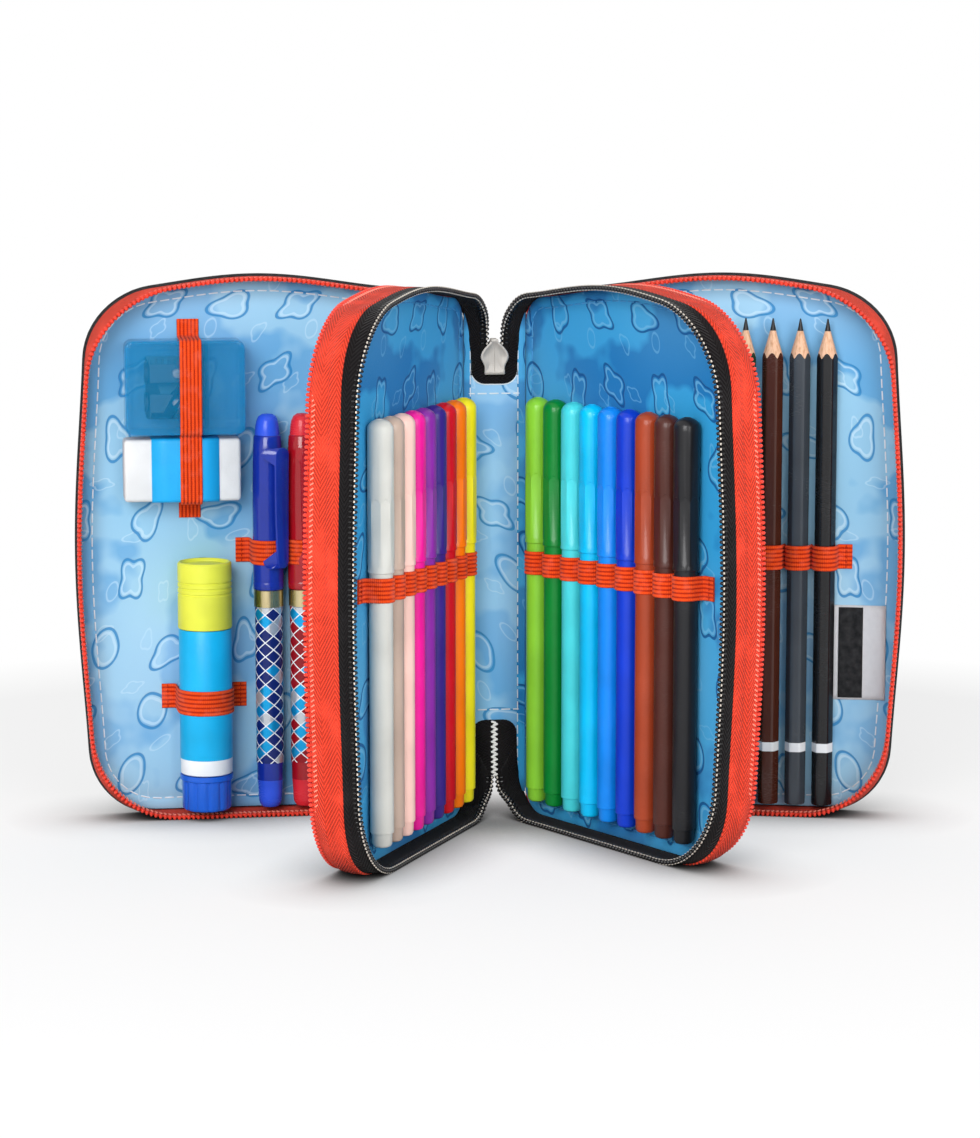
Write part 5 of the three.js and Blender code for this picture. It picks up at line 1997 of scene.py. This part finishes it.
@dataclass
class FeltTips:
    """Eighteen capped felt-tips in two rows."""

    layout: Layout
    foot: float = 8.2
    centre: float = 4.9
    length: float = 149.0
    barrel: float = 4.15
    cap: float = 4.6
    cap_length: float = 53.0
    step_drop: float = 27.0
    dome: float = 3.7
    vent: float = 1.15
    vent_depth: float = 1.4
    flat: float = 4.3
    flats: int = 8
    arch: float = 1.7
    sides: int = 32
    rows: dict[str, tuple[float, float]] = field(default_factory=lambda: {"left": (14.4, 9.9), "right": (16.2, 10.8)})

    def build(self) -> None:
        """Builds both rows."""
        for row, colours in FELT_COLOURS.items():
            tray = self.layout.trays[f"{row}_front"]
            first, pitch = self.rows[row]
            for index, (name, code) in enumerate(colours.items()):
                self.pen(tray.at(first + pitch * index, self.centre, self.foot), name, code)

    def pen(self, place: Matrix, name: str, code: str) -> None:
        """Builds one felt-tip.

        Args:
            place: Its frame.
            name: Its colour's name.
            code: Its colour.
        """
        mouth = self.length - self.cap_length
        step = self.length - self.step_drop
        top = self.length
        profile = [
            (0, 0), (2.2, 0.0), (3.0, 0.4), (3.5, 1.3), (3.6, 4.8), (3.7, 5.0), (4.05, 5.1), (self.barrel, 5.5),
            (self.barrel, mouth - 0.4), (self.barrel, mouth), (4.4, mouth), (self.cap, mouth + 0.3),
            (self.cap, mouth + 1.1), (4.5, mouth + 1.5), (4.5, mouth + 2.3), (4.4, mouth + 2.6),
            (4.4, step - 1.4), (4.4, step - 0.4), (self.cap, step), (self.cap, top - self.dome - 1.0),
        ]
        for turn in (10, 22, 34, 45, 55, 63, 70):
            angle = math.radians(turn)
            profile.append((self.cap * math.cos(angle), top - self.dome + self.dome * math.sin(angle)))
        profile += [
            (self.vent + 0.15, top - 0.1), (self.vent, top - 0.3), (self.vent - 0.15, top - self.vent_depth),
            (0, top - self.vent_depth),
        ]
        bm = turn_profile(profile, self.sides)
        half = math.pi / self.flats
        for vert in bm.verts:
            off = (math.atan2(vert.co.y, vert.co.x) + half) % (2 * half) - half
            if mouth + 2.4 < vert.co.z < step - 0.3:
                scale = self.flat / math.cos(off) / max(vert.co.xy.length, 1e-6)
                vert.co.x *= scale
                vert.co.y *= scale
            if step - 1.5 < vert.co.z < step + 0.1:
                vert.co.z -= self.arch * (off / half) ** 2
        wrap_uv(bm, self.cap)
        choose(bm, 1, lambda z: z < mouth)
        cap = Finish(f"Felt cap {name}", code, roughness=0.3, coat=0.1, bump=0.03)
        barrel = Finish(f"Felt barrel {name}", code, roughness=0.38, bump=0.05)
        make_whole(bm, place, f"felt_tip_{name}", f"felt_{name}", [cap, barrel], 32)


@dataclass
class Pencils:
    """Four sharpened hexagonal pencils."""

    layout: Layout
    foot: float = 3.4
    centre: float = 4.3
    length: float = 181.0
    corner: float = 4.0
    softened: float = 0.965
    cone: float = 15.4
    lead: float = 1.1
    lead_length: float = 4.6
    first: float = 70.3
    pitch: float = 10.0
    ring_low: float = 20.0
    ring_high: float = 23.4
    sides: int = 48

    def build(self) -> None:
        """Builds the four pencils."""
        for index, (name, code) in enumerate(PENCIL_COLOURS.items()):
            place = self.layout.trays["right_cover"].at(self.first + index * self.pitch, self.centre, self.foot)
            self.pencil(place, name, code)

    def pencil(self, place: Matrix, name: str, code: str) -> None:
        """Builds one pencil.

        Args:
            place: Its frame.
            name: Its colour's name.
            code: Its paint.
        """
        base = self.length - self.cone
        bare = self.length - self.lead_length
        slope = (self.corner - self.lead) / (bare - base)
        profile = [(0, 0.2), (1.1, 0.2), (1.1, 0.0), (self.corner - 0.4, 0.0)]
        marks = (0.5, self.ring_low, self.ring_high, 60.0, 110.0, base - 4, base, base + 0.01)
        profile += [(self.corner, mark) for mark in marks]
        profile += [(self.lead + slope * 3, bare - 3), (self.lead, bare), (0.28, self.length - 0.3), (0, self.length)]
        bm = turn_profile(profile, self.sides)
        sixth = math.pi / 6
        for vert in bm.verts:
            radius = vert.co.xy.length
            if radius < 2.5:
                continue
            off = (math.atan2(vert.co.y, vert.co.x) + 2 * sixth) % (2 * sixth) - sixth
            reach = min(self.corner * math.cos(sixth) / math.cos(off), self.corner * self.softened)
            if base - 0.005 < vert.co.z < base + 0.1:
                lift = (self.corner - reach) / slope
                vert.co.z += lift * 1.35 + (0.06 if vert.co.z > base + 0.005 else 0)
            scale = min(1.0, reach / radius)
            vert.co.x *= scale
            vert.co.y *= scale
        wrap_uv(bm, self.corner)
        for face in bm.faces:
            z = face.calc_center_median().z
            if self.ring_low < z < self.ring_high:
                face.material_index = 1
            elif z > bare:
                face.material_index = 3
            elif max(vert.co.z for vert in face.verts) > bare - 3.5:
                face.material_index = 2
        paint = Finish(f"Pencil paint {name}", code, roughness=0.22, coat=0.2, bump=0.02)
        node = f"pencil_{name}"
        make_whole(bm, place, node, node, [paint, PENCIL_RING, PENCIL_WOOD, PENCIL_LEAD], 28)


@dataclass
class ClipPens:
    """The red and the blue pen, each a barrel and a cap with its clip."""

    layout: Layout
    foot: float = 2.6
    centre: float = 6.0
    length: float = 147.0
    cap: float = 5.7
    cap_length: float = 65.0
    cap_head: float = 5.1
    taper: float = 26.0
    button: float = 8.0
    collar: float = 5.5
    collar_length: float = 6.4
    barrel: float = 5.15
    tip: float = 4.3
    tip_length: float = 17.0
    bore: float = 4.3
    bore_depth: float = 30.0
    clip_drop: float = 12.0
    clip_width: float = 6.4
    clip_thickness: float = 1.3
    clip_length: float = 44.6
    clip_gap: float = 1.8
    clip_root: float = 4.2
    sides: int = 40

    def build(self) -> None:
        """Builds both pens."""
        for name, along, turn, finishes in (
            ("red", 45.9, 12.0, [PEN_RED, PEN_RED_TIP, PEN_RED_PRINT, PEN_BAND]),
            ("blue", 58.8, 35.0, [PEN_BLUE, PEN_BLUE_TIP, PEN_BLUE_PRINT, PEN_BAND]),
        ):
            place = self.layout.trays["left_cover"].at(along, self.centre, self.foot)
            mouth = self.length - self.cap_length
            make_whole(self.barrel_mesh(mouth), place, f"{name}_pen_barrel", f"pen_{name}", finishes, 35)
            cap = self.cap_mesh(mouth, Matrix.Rotation(math.radians(turn), 4, "Z"))
            make_whole(cap, place, f"{name}_pen_cap", f"pen_{name}", finishes[:2], 35)

    def barrel_mesh(self, mouth: float) -> BMesh:
        """One barrel with its nib and plated band.

        Args:
            mouth: Where the cap starts.

        Returns:
            The mesh.
        """
        band = mouth - self.collar_length
        bm = turn_profile([
            (0, 0), (2.2, 0), (3.2, 0.3), (3.9, 1.2), (self.tip, 2.6), (4.45, 6.0), (4.7, 10.0), (4.85, 10.4),
            (4.95, self.tip_length - 0.5), (self.barrel, self.tip_length), (self.barrel, 46.0),
            (self.barrel, band - 0.3), (self.collar, band), (self.collar, mouth - 0.3), (5.2, mouth), (3.9, mouth),
            (3.9, mouth + 18.0), (2.4, mouth + 24.0), (1.1, mouth + 25.0), (0.5, mouth + 27.6), (0, mouth + 28.0),
        ], self.sides)
        wrap_uv(bm, self.barrel)
        choose(bm, 2, lambda z: self.tip_length < z < band)
        choose(bm, 1, lambda z: z < 10.2)
        choose(bm, 3, lambda z: band < z < mouth)
        return bm

    def cap_mesh(self, mouth: float, turn: Matrix) -> BMesh:
        """One cap with its button and clip.

        Args:
            mouth: Where the cap starts.
            turn: How its clip is turned.

        Returns:
            The mesh.
        """
        neck = self.length - self.button
        bm = turn_profile([
            (0, mouth + self.bore_depth), (self.bore, mouth + self.bore_depth - 1), (self.bore, mouth + 0.5),
            (4.6, mouth + 0.05), (5.5, mouth + 0.05), (self.cap, mouth + 0.35), (self.cap, mouth + 2.4),
            (5.6, mouth + 2.7), (5.6, mouth + 3.1), (self.cap, mouth + 3.4), (self.cap, neck - self.taper),
            (5.6, neck - self.taper * 0.6), (5.4, neck - self.taper * 0.25), (self.cap_head, neck - 0.5),
            (4.85, neck), (4.6, neck + 0.15), (4.55, neck + 1.2), (4.4, neck + 3.2), (4.05, neck + 5.2),
            (3.3, neck + 6.9), (2.0, neck + 7.8), (0, self.length),
        ], self.sides)
        wrap_uv(bm, self.cap)
        choose(bm, 1, lambda z: z > neck + 0.1)
        top = self.length - self.clip_drop
        near = self.cap + self.clip_gap
        half, tall = self.clip_thickness / 2, self.clip_length / 2
        clip = panel(self.clip_width / 2, (-tall, tall), (-half, half), 2.9, 0.45)
        bmesh.ops.subdivide_edges(clip, edges=[edge for edge in clip.edges if edge.calc_length() > 20], cuts=10)
        for vert in clip.verts:
            low = (tall - vert.co.z) / self.clip_length
            vert.co.x *= 1 - 0.22 * low * low
            vert.co.y -= 0.9 * math.sin(math.pi * min(1, low * 1.15)) * 0.35
        root = rounded_box((self.clip_width * 0.8, near - 4.2, self.clip_root), 0.8, 3)
        ball = rounded_box((2.6, 1.5, 2.8), 0.6, 3)
        for part, place in (
            (clip, (0, near + half, top - tall)),
            (root, (0, (near + 4.4) / 2, top - self.clip_root / 2 - 0.8)),
            (ball, (0, near - 0.3, top - self.clip_length + 2.4)),
        ):
            bmesh.ops.translate(part, vec=place, verts=part.verts)
            scatter(bm, part, [turn])
        return bm


@dataclass
class GlueStick:
    """The glue stick: cap, barrel and fluted knob."""

    layout: Layout
    along: float = 82.7
    centre: float = 10.25
    knob: float = 9.1
    knob_low: float = 3.6
    knob_high: float = 16.8
    barrel: float = 9.7
    barrel_low: float = 17.1
    ring_high: float = 22.9
    mouth: float = 71.1
    cap: float = 9.95
    cap_low: float = 71.4
    cap_high: float = 95.9
    groove_pitch: float = 2.1
    flutes: int = 12
    sides: int = 48

    def build(self) -> None:
        """Builds the three pieces."""
        place = self.layout.trays["left_cover"].at(self.along, self.centre, 0)
        top = self.cap_high
        cap = [(0, top - 1.2), (8.3, top - 1.2), (8.6, top - 0.3), (8.9, top), (9.4, top), (self.cap, top - 0.7)]
        for step in range(3):
            z = top - 7.6 - step * self.groove_pitch
            cap += [(self.cap, z + 0.75), (9.62, z + 0.45), (9.62, z + 0.05), (self.cap, z - 0.25)]
        cap += [(self.cap, self.cap_low + 0.5), (9.75, self.cap_low), (8.9, self.cap_low), (8.6, self.cap_low + 0.4)]
        cap += [(8.6, top - 2.4), (0, top - 2.4)]
        make_whole(turn_profile(cap, self.sides), place, "glue_cap", "glue_yellow", [GLUE_YELLOW], 30)
        bm = turn_profile([
            (0, self.barrel_low), (9.2, self.barrel_low), (9.5, self.barrel_low + 0.3), (9.62, self.ring_high - 0.15),
            (9.62, self.ring_high), (self.barrel, self.ring_high + 0.15), (self.barrel, self.mouth - 0.4),
            (9.5, self.mouth), (8.3, self.mouth), (8.3, 88.3), (7.9, 89.0), (7.2, 89.0), (7.2, 87.0), (0, 87.0),
        ], self.sides)
        wrap_uv(bm, self.barrel)
        choose(bm, 1, lambda z: z < self.ring_high)
        choose(bm, 2, lambda z: z > self.mouth)
        make_whole(bm, place, "glue_barrel", "glue_cyan", [GLUE_CYAN, GLUE_WHITE, ERASER_WHITE], 30)
        low, high = self.knob_low, self.knob_high
        bm = turn_profile([
            (0, low), (8.4, low), (8.9, low + 0.5), (self.knob, low + 1.0), (self.knob, high - 2.6),
            (self.knob, high - 2.2), (9.75, high - 1.8), (9.75, high), (2.0, high), (2.0, 19.6), (0, 19.6),
        ], self.flutes * 8)
        for vert in bm.verts:
            if vert.co.z < high - 2.3 and vert.co.xy.length > 8.0:
                turn = math.atan2(vert.co.y, vert.co.x) * self.flutes
                scale = 1 - 0.05 * max(0.0, math.cos(turn)) ** 2
                vert.co.x *= scale
                vert.co.y *= scale
        make_whole(bm, place, "glue_knob", "glue_blue", [GLUE_BLUE], 30)


@dataclass
class SharpenerSet:
    """The clear sharpener box with its lid and the two-hole sharpener in it."""

    layout: Layout
    along: float = 89.1
    foot: float = 143.0
    width: float = 43.4
    height: float = 34.2
    floor: float = 0.3
    base_top: float = 11.8
    lid_low: float = 12.1
    lid_top: float = 15.9
    wall: float = 1.2
    round: float = 3.0
    rib_offset: float = -8.4
    block_along: float = 92.4
    block_foot: float = 148.4
    block_width: float = 21.0
    block_height: float = 22.4
    block_low: float = 1.8
    block_top: float = 11.5
    hole_pitch: float = 11.0
    grips: int = 9
    grip_pitch: float = 2.3

    def build(self) -> None:
        """Builds the box, its lid and the sharpener."""
        tray = self.layout.trays["left_cover"]
        floor, base, top, wall = self.floor, self.base_top, self.lid_top, self.wall
        bm = self.shell([
            (1.2, floor), (0.3, floor + 0.5), (0.0, floor + 1.2), (0.0, base - 0.2), (0.2, base), (wall - 0.2, base),
            (wall, base - 0.2), (wall, floor + 1.6), (wall + 0.6, floor + 1.2),
        ])
        rib = rounded_box((0.8, base - floor - 2.4, self.height - 2 * wall), 0.2, 2)
        middle = (self.along + self.rib_offset, (base + floor) / 2 - 1.0, self.foot + self.height / 2)
        scatter(bm, rib, [Matrix.Translation(middle)])
        box = Piece("sharpener_box_base", "clear_blue", [CLEAR_BLUE], ["sharpener_box"], 30)
        box.make(bm, tray.frame(), "sharpener_box")
        bm = self.shell([
            (0.2, self.lid_low), (0.0, self.lid_low + 0.2), (0.0, top - 0.9), (0.3, top - 0.4), (1.6, top), (2.2, top),
            (2.6, top - 0.25), (3.0, top - 0.25), (3.3, top), (4.4, top), (8.0, top - 0.05),
        ])
        lid = Piece("sharpener_lid", "clear_blue", [CLEAR_BLUE], ["sharpener_box_lid"], 30)
        lid.make(bm, tray.frame(), "sharpener_box")
        self.block(tray)

    def shell(self, steps: Profile) -> BMesh:
        """Draws the box's outline through levels.

        Args:
            steps: How far inside the outline and how high in Y each level is.

        Returns:
            The mesh.
        """
        middle = Vector((self.along, 0, self.foot + self.height / 2))
        rings = []
        for inset, level in steps:
            half_x, half_z = self.width / 2 - inset, self.height / 2 - inset
            ring = level_ring(half_x, half_z, max(self.round - inset, 0.4), level)
            rings.append([point + middle for point in ring])
        return loft(rings)

    def block(self, tray: Tray) -> None:
        """Builds the sharpener: a ribbed block with two holes, two blades and their screws.

        Args:
            tray: The cover's tray.
        """
        depth = self.block_top - self.block_low
        half = self.block_width / 2
        quarter = math.pi / 2
        bm = rounded_box((self.block_width, depth * 0.8, self.block_height), 0.5, 2)
        bmesh.ops.translate(bm, vec=(0, -depth * 0.1, 0), verts=bm.verts)
        upright = Matrix.Rotation(quarter, 4, "Y") @ Matrix.Scale(0.12, 4, (1, 0, 0))
        grips = [
            Matrix.Translation((
                -half + 1.3 + step * self.grip_pitch, depth * 0.3, side * (self.block_height / 2 - 1.5),
            )) @ upright
            for side in (-1, 1) for step in range(self.grips)
        ]
        scatter(bm, rounded_box((self.block_width, 0.8, 0.9), 0.2, 1), grips)
        mouth = [(0, -0.3), (3.6, -0.3), (3.9, 0.0), (3.9, 0.4), (4.1, 0.4), (4.1, -0.6), (0, -0.6)]
        screw = [(0, 0.0), (1.9, 0.0), (1.9, 0.5), (1.5, 0.9), (0.5, 0.95), (0.4, 0.6), (0, 0.6)]
        for side in (-1, 1):
            z = side * self.hole_pitch / 2
            for part, place, turn, index in (
                (turn_profile(mouth, 24), (half + 0.1, -depth * 0.1, z), Matrix.Rotation(quarter, 4, "Y"), 1),
                (rounded_box((18.0, 0.5, 6.8), 0.12, 1), (0.4, depth * 0.36, z), Matrix.Rotation(0.12, 4, "X"), 1),
                (turn_profile(screw, 20), (-0.6, depth * 0.38, z), Matrix.Rotation(-quarter, 4, "X"), 2),
            ):
                scatter(bm, part, [Matrix.Translation(place) @ turn], index)
        place = tray.at(
            self.block_along, (self.block_low + self.block_top) / 2, self.block_foot + self.block_height / 2,
        )
        block = Piece("sharpener_block_body", "sharpener_metal", [ALUMINIUM, STEEL, ZINC], ["sharpener_block"], 30)
        block.make(bm, place, "sharpener_box")


@dataclass
class Eraser:
    """The white eraser in its card sleeve."""

    layout: Layout
    along: float = 90.3
    foot: float = 118.4
    width: float = 42.7
    height: float = 22.8
    low: float = 0.7
    depth: float = 12.4
    sleeve_offset: float = -1.0
    sleeve_width: float = 24.6
    sleeve_wall: float = 0.35
    corner: float = 1.4

    def build(self) -> None:
        """Builds the eraser and its sleeve."""
        place = self.layout.trays["left_cover"].at(
            self.along, self.low + self.depth / 2, self.foot + self.height / 2,
        )
        bm = rounded_box((self.width, self.depth, self.height), self.corner, 4)
        long_edges = [edge for edge in bm.edges if edge.calc_length() > 5]
        bmesh.ops.subdivide_edges(bm, edges=long_edges, cuts=6, use_grid_fill=True)
        for vert in bm.verts:
            ends = abs(vert.co.x) / (self.width / 2)
            worn = 0.35 * max(0.0, ends - 0.75) * math.sin(vert.co.z * 0.9 + vert.co.y)
            vert.co.x -= math.copysign(abs(worn), vert.co.x)
        Piece("eraser_block", "eraser_white", [ERASER_WHITE], ["eraser"], 35).make(bm, place, "eraser")
        half_y, half_z = self.depth / 2 + self.sleeve_wall, self.height / 2 + self.sleeve_wall
        section = rounded_rectangle(half_y, half_z, self.corner, 5)
        bm = tube([
            [Vector((self.sleeve_offset + x * self.sleeve_width / 2, y, z)) for y, z in section]
            for x in (-1, -0.5, 0, 0.5, 1)
        ])
        if min(face.normal.dot(face.calc_center_median()) for face in bm.faces) < -1:
            bmesh.ops.reverse_faces(bm, faces=bm.faces)
        made = Piece("eraser_sleeve", "glue_cyan", [SLEEVE_CYAN], (), 35).make(bm, place, "eraser")
        give_wall(made, self.sleeve_wall)


@dataclass
class CareLabel:
    """A folded scrap of white satin sewn beside the black pencil, with a bare dark patch woven on it."""

    layout: Layout
    left: float = 98.0
    right: float = 123.0
    low: float = 42.5
    high: float = 78.0
    patch_left: float = 105.6
    patch_right: float = 114.6
    patch_margin: float = 0.8
    cloth: float = 0.2

    def build(self) -> None:
        """Builds the label and its patch."""
        label = self.scrap("care_label", (self.left, self.right, self.low, self.high), 0.0, LABEL_SATIN)
        area = (self.patch_left, self.patch_right, self.low + self.patch_margin, self.high - self.patch_margin)
        self.scrap("care_label_patch", area, self.cloth + 0.06, LABEL_PATCH)

    def lift(self, x: float, z: float) -> float:
        """How high the label stands over the lining at a place."""
        up = (z - self.low) / (self.high - self.low)
        return 0.5 + 0.5 * math.sin(math.pi * up) + 0.22 * math.sin(x * 0.36 + up * 3)

    def scrap(
        self, name: str, area: tuple[float, float, float, float], raise_by: float, finish: Finish,
    ) -> Object:
        """Builds one layer of cloth that follows the label.

        Args:
            name: The piece's name.
            area: Left, right, low and high.
            raise_by: How far it lies above the label's lower face.
            finish: Its finish.

        Returns:
            The piece.
        """
        left, right, low, high = area
        rings = []
        for row in range(17):
            z = low + (high - low) * row / 16
            across = [left + (right - left) * part / 10 for part in range(11)]
            rings.append([Vector((x, self.lift(x, z) + raise_by, z)) for x in across])
        bm = sheet(rings, 1)
        run_uv(bm)
        made = self.layout.trays["right_cover"].add(bm, name, "eraser_white", [finish], (), 60)
        give_wall(made, self.cloth)
        return made


# The view


@dataclass
class Studio:
    """The floor, the white surround, soft lamps and the camera. Its sizes are in metres."""

    focal_length: float = 111.3
    sensor: float = 36.0
    camera_place: tuple[float, float, float] = (-0.00021, -1.2322, 0.2812)
    camera_pitch: float = 8.38
    camera_reach: float = 20.0
    floor_reach: float = 6.0
    shadow_reach: float = 0.22
    painted_shadow_depth: float = 0.038
    floor_glow: float = 0.6
    ambient: float = 0.55
    lamp_aim: float = 0.09

    def build(self) -> None:
        """Sets up the view."""
        self.floor()
        self.surround()
        for name, place, size, power in (
            ("Key lamp", (-0.5, -1.5, 0.75), 0.9, 22.0),
            ("Fill lamp", (0.75, -1.3, 0.5), 0.9, 11.5),
            ("Back lamp", (0.1, 1.1, 1.1), 1.0, 3.0),
        ):
            data = bpy.data.lights.new(name, "AREA")
            data.size = size
            data.energy = power
            made = self.hang(name, data, place)
            made.rotation_euler = (Vector((0, 0, self.lamp_aim)) - Vector(place)).to_track_quat("-Z", "Y").to_euler()
        data = bpy.data.cameras.new("Camera")
        data.lens = self.focal_length
        data.sensor_width = self.sensor
        data.clip_end = self.camera_reach
        camera = self.hang("Camera", data, self.camera_place)
        camera.rotation_euler = (math.radians(90 - self.camera_pitch), 0, 0)
        bpy.context.scene.camera = camera

    @staticmethod
    def hang(name: str, data: bpy.types.ID, place: Sequence[float] = (0, 0, 0)) -> Object:
        """Adds an object to the scene.

        Args:
            name: Its name.
            data: Its lamp, camera or mesh.
            place: Where it stands.

        Returns:
            The object.
        """
        made = bpy.data.objects.new(name, data)
        made.location = place
        bpy.context.scene.collection.objects.link(made)
        return made

    @staticmethod
    def seen(graph: Graph) -> NodeSocket:
        """Finds who looks.

        Args:
            graph: The graph of the floor or the surround.

        Returns:
            One where the camera, a reflection or a clear piece looks, and zero for light.
        """
        path = graph.add("ShaderNodeLightPath").outputs
        looks = graph.math("MAXIMUM", path["Is Glossy Ray"], path["Is Transmission Ray"])
        return graph.math("MAXIMUM", path["Is Camera Ray"], looks)

    def surround(self) -> None:
        """Makes the world white to look at and even to light with."""
        world = bpy.data.worlds.new("Surround")
        bpy.context.scene.world = world
        graph = Graph.of(world)
        light, white = (
            graph.add("ShaderNodeBackground", {"Color": (1, 1, 1, 1), "Strength": strength}).outputs[0]
            for strength in (self.ambient, 1.0)
        )
        mixed = graph.add("ShaderNodeMixShader", {0: self.seen(graph), 1: light, 2: white})
        graph.add("ShaderNodeOutputWorld", {"Surface": mixed.outputs[0]})

    def floor(self) -> None:
        """Lays a white floor that keeps the shadow of the case, with a dark contact shadow painted into its colour and
        glow near the case by ambient occlusion.
        """
        bm = bmesh.new()
        bmesh.ops.create_grid(bm, x_segments=1, y_segments=1, size=self.floor_reach)
        mesh = bpy.data.meshes.new("Floor")
        bm.to_mesh(mesh)
        bm.free()
        material = bpy.data.materials.new("Studio floor")
        graph = Graph.of(material)
        # Painted shadow: ambient occlusion darkens the floor's colour almost to black near the case and holds back its
        # white glow there.
        near = graph.add("ShaderNodeAmbientOcclusion", {"Distance": self.painted_shadow_depth}).outputs["AO"]
        painted_light_share = graph.math("POWER", near, 2.0)
        painted_contact_shadow = graph.mix(painted_light_share, (0.03, 0.03, 0.03, 1), (0.86, 0.86, 0.86, 1))
        paint = graph.add("ShaderNodeBsdfDiffuse", {"Color": painted_contact_shadow}).outputs[0]
        glow = graph.add("ShaderNodeEmission", {"Strength": 1.0}).outputs[0]
        away = graph.add("ShaderNodeVectorMath", {0: graph.solid()}, operation="LENGTH").outputs["Value"]
        clear = graph.times(painted_light_share, self.floor_glow)
        far = graph.math("MAXIMUM", graph.band(away, self.shadow_reach, self.shadow_reach * 2), clear)
        lit = graph.add("ShaderNodeMixShader", {0: far, 1: paint, 2: glow}).outputs[0]
        mixed = graph.add("ShaderNodeMixShader", {0: self.seen(graph), 1: paint, 2: lit})
        graph.add("ShaderNodeOutputMaterial", {"Surface": mixed.outputs[0]})
        mesh.materials.append(material)
        self.hang("Floor", mesh)


def main() -> None:
    """Builds the case and reports each piece."""
    logging.basicConfig(level=logging.INFO, format="%(message)s")
    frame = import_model()
    bpy.context.scene.view_settings.view_transform = "Standard"
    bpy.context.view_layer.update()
    layout = Layout(frame["joints"])
    for part in (
        Leaves, Zips, Strips, Links, Sliders, Elastics, FeltTips, Pencils, ClipPens, GlueStick, SharpenerSet, Eraser,
        CareLabel,
    ):
        part(layout).build()
    Studio().build()


if __name__ == "__main__":
    main()
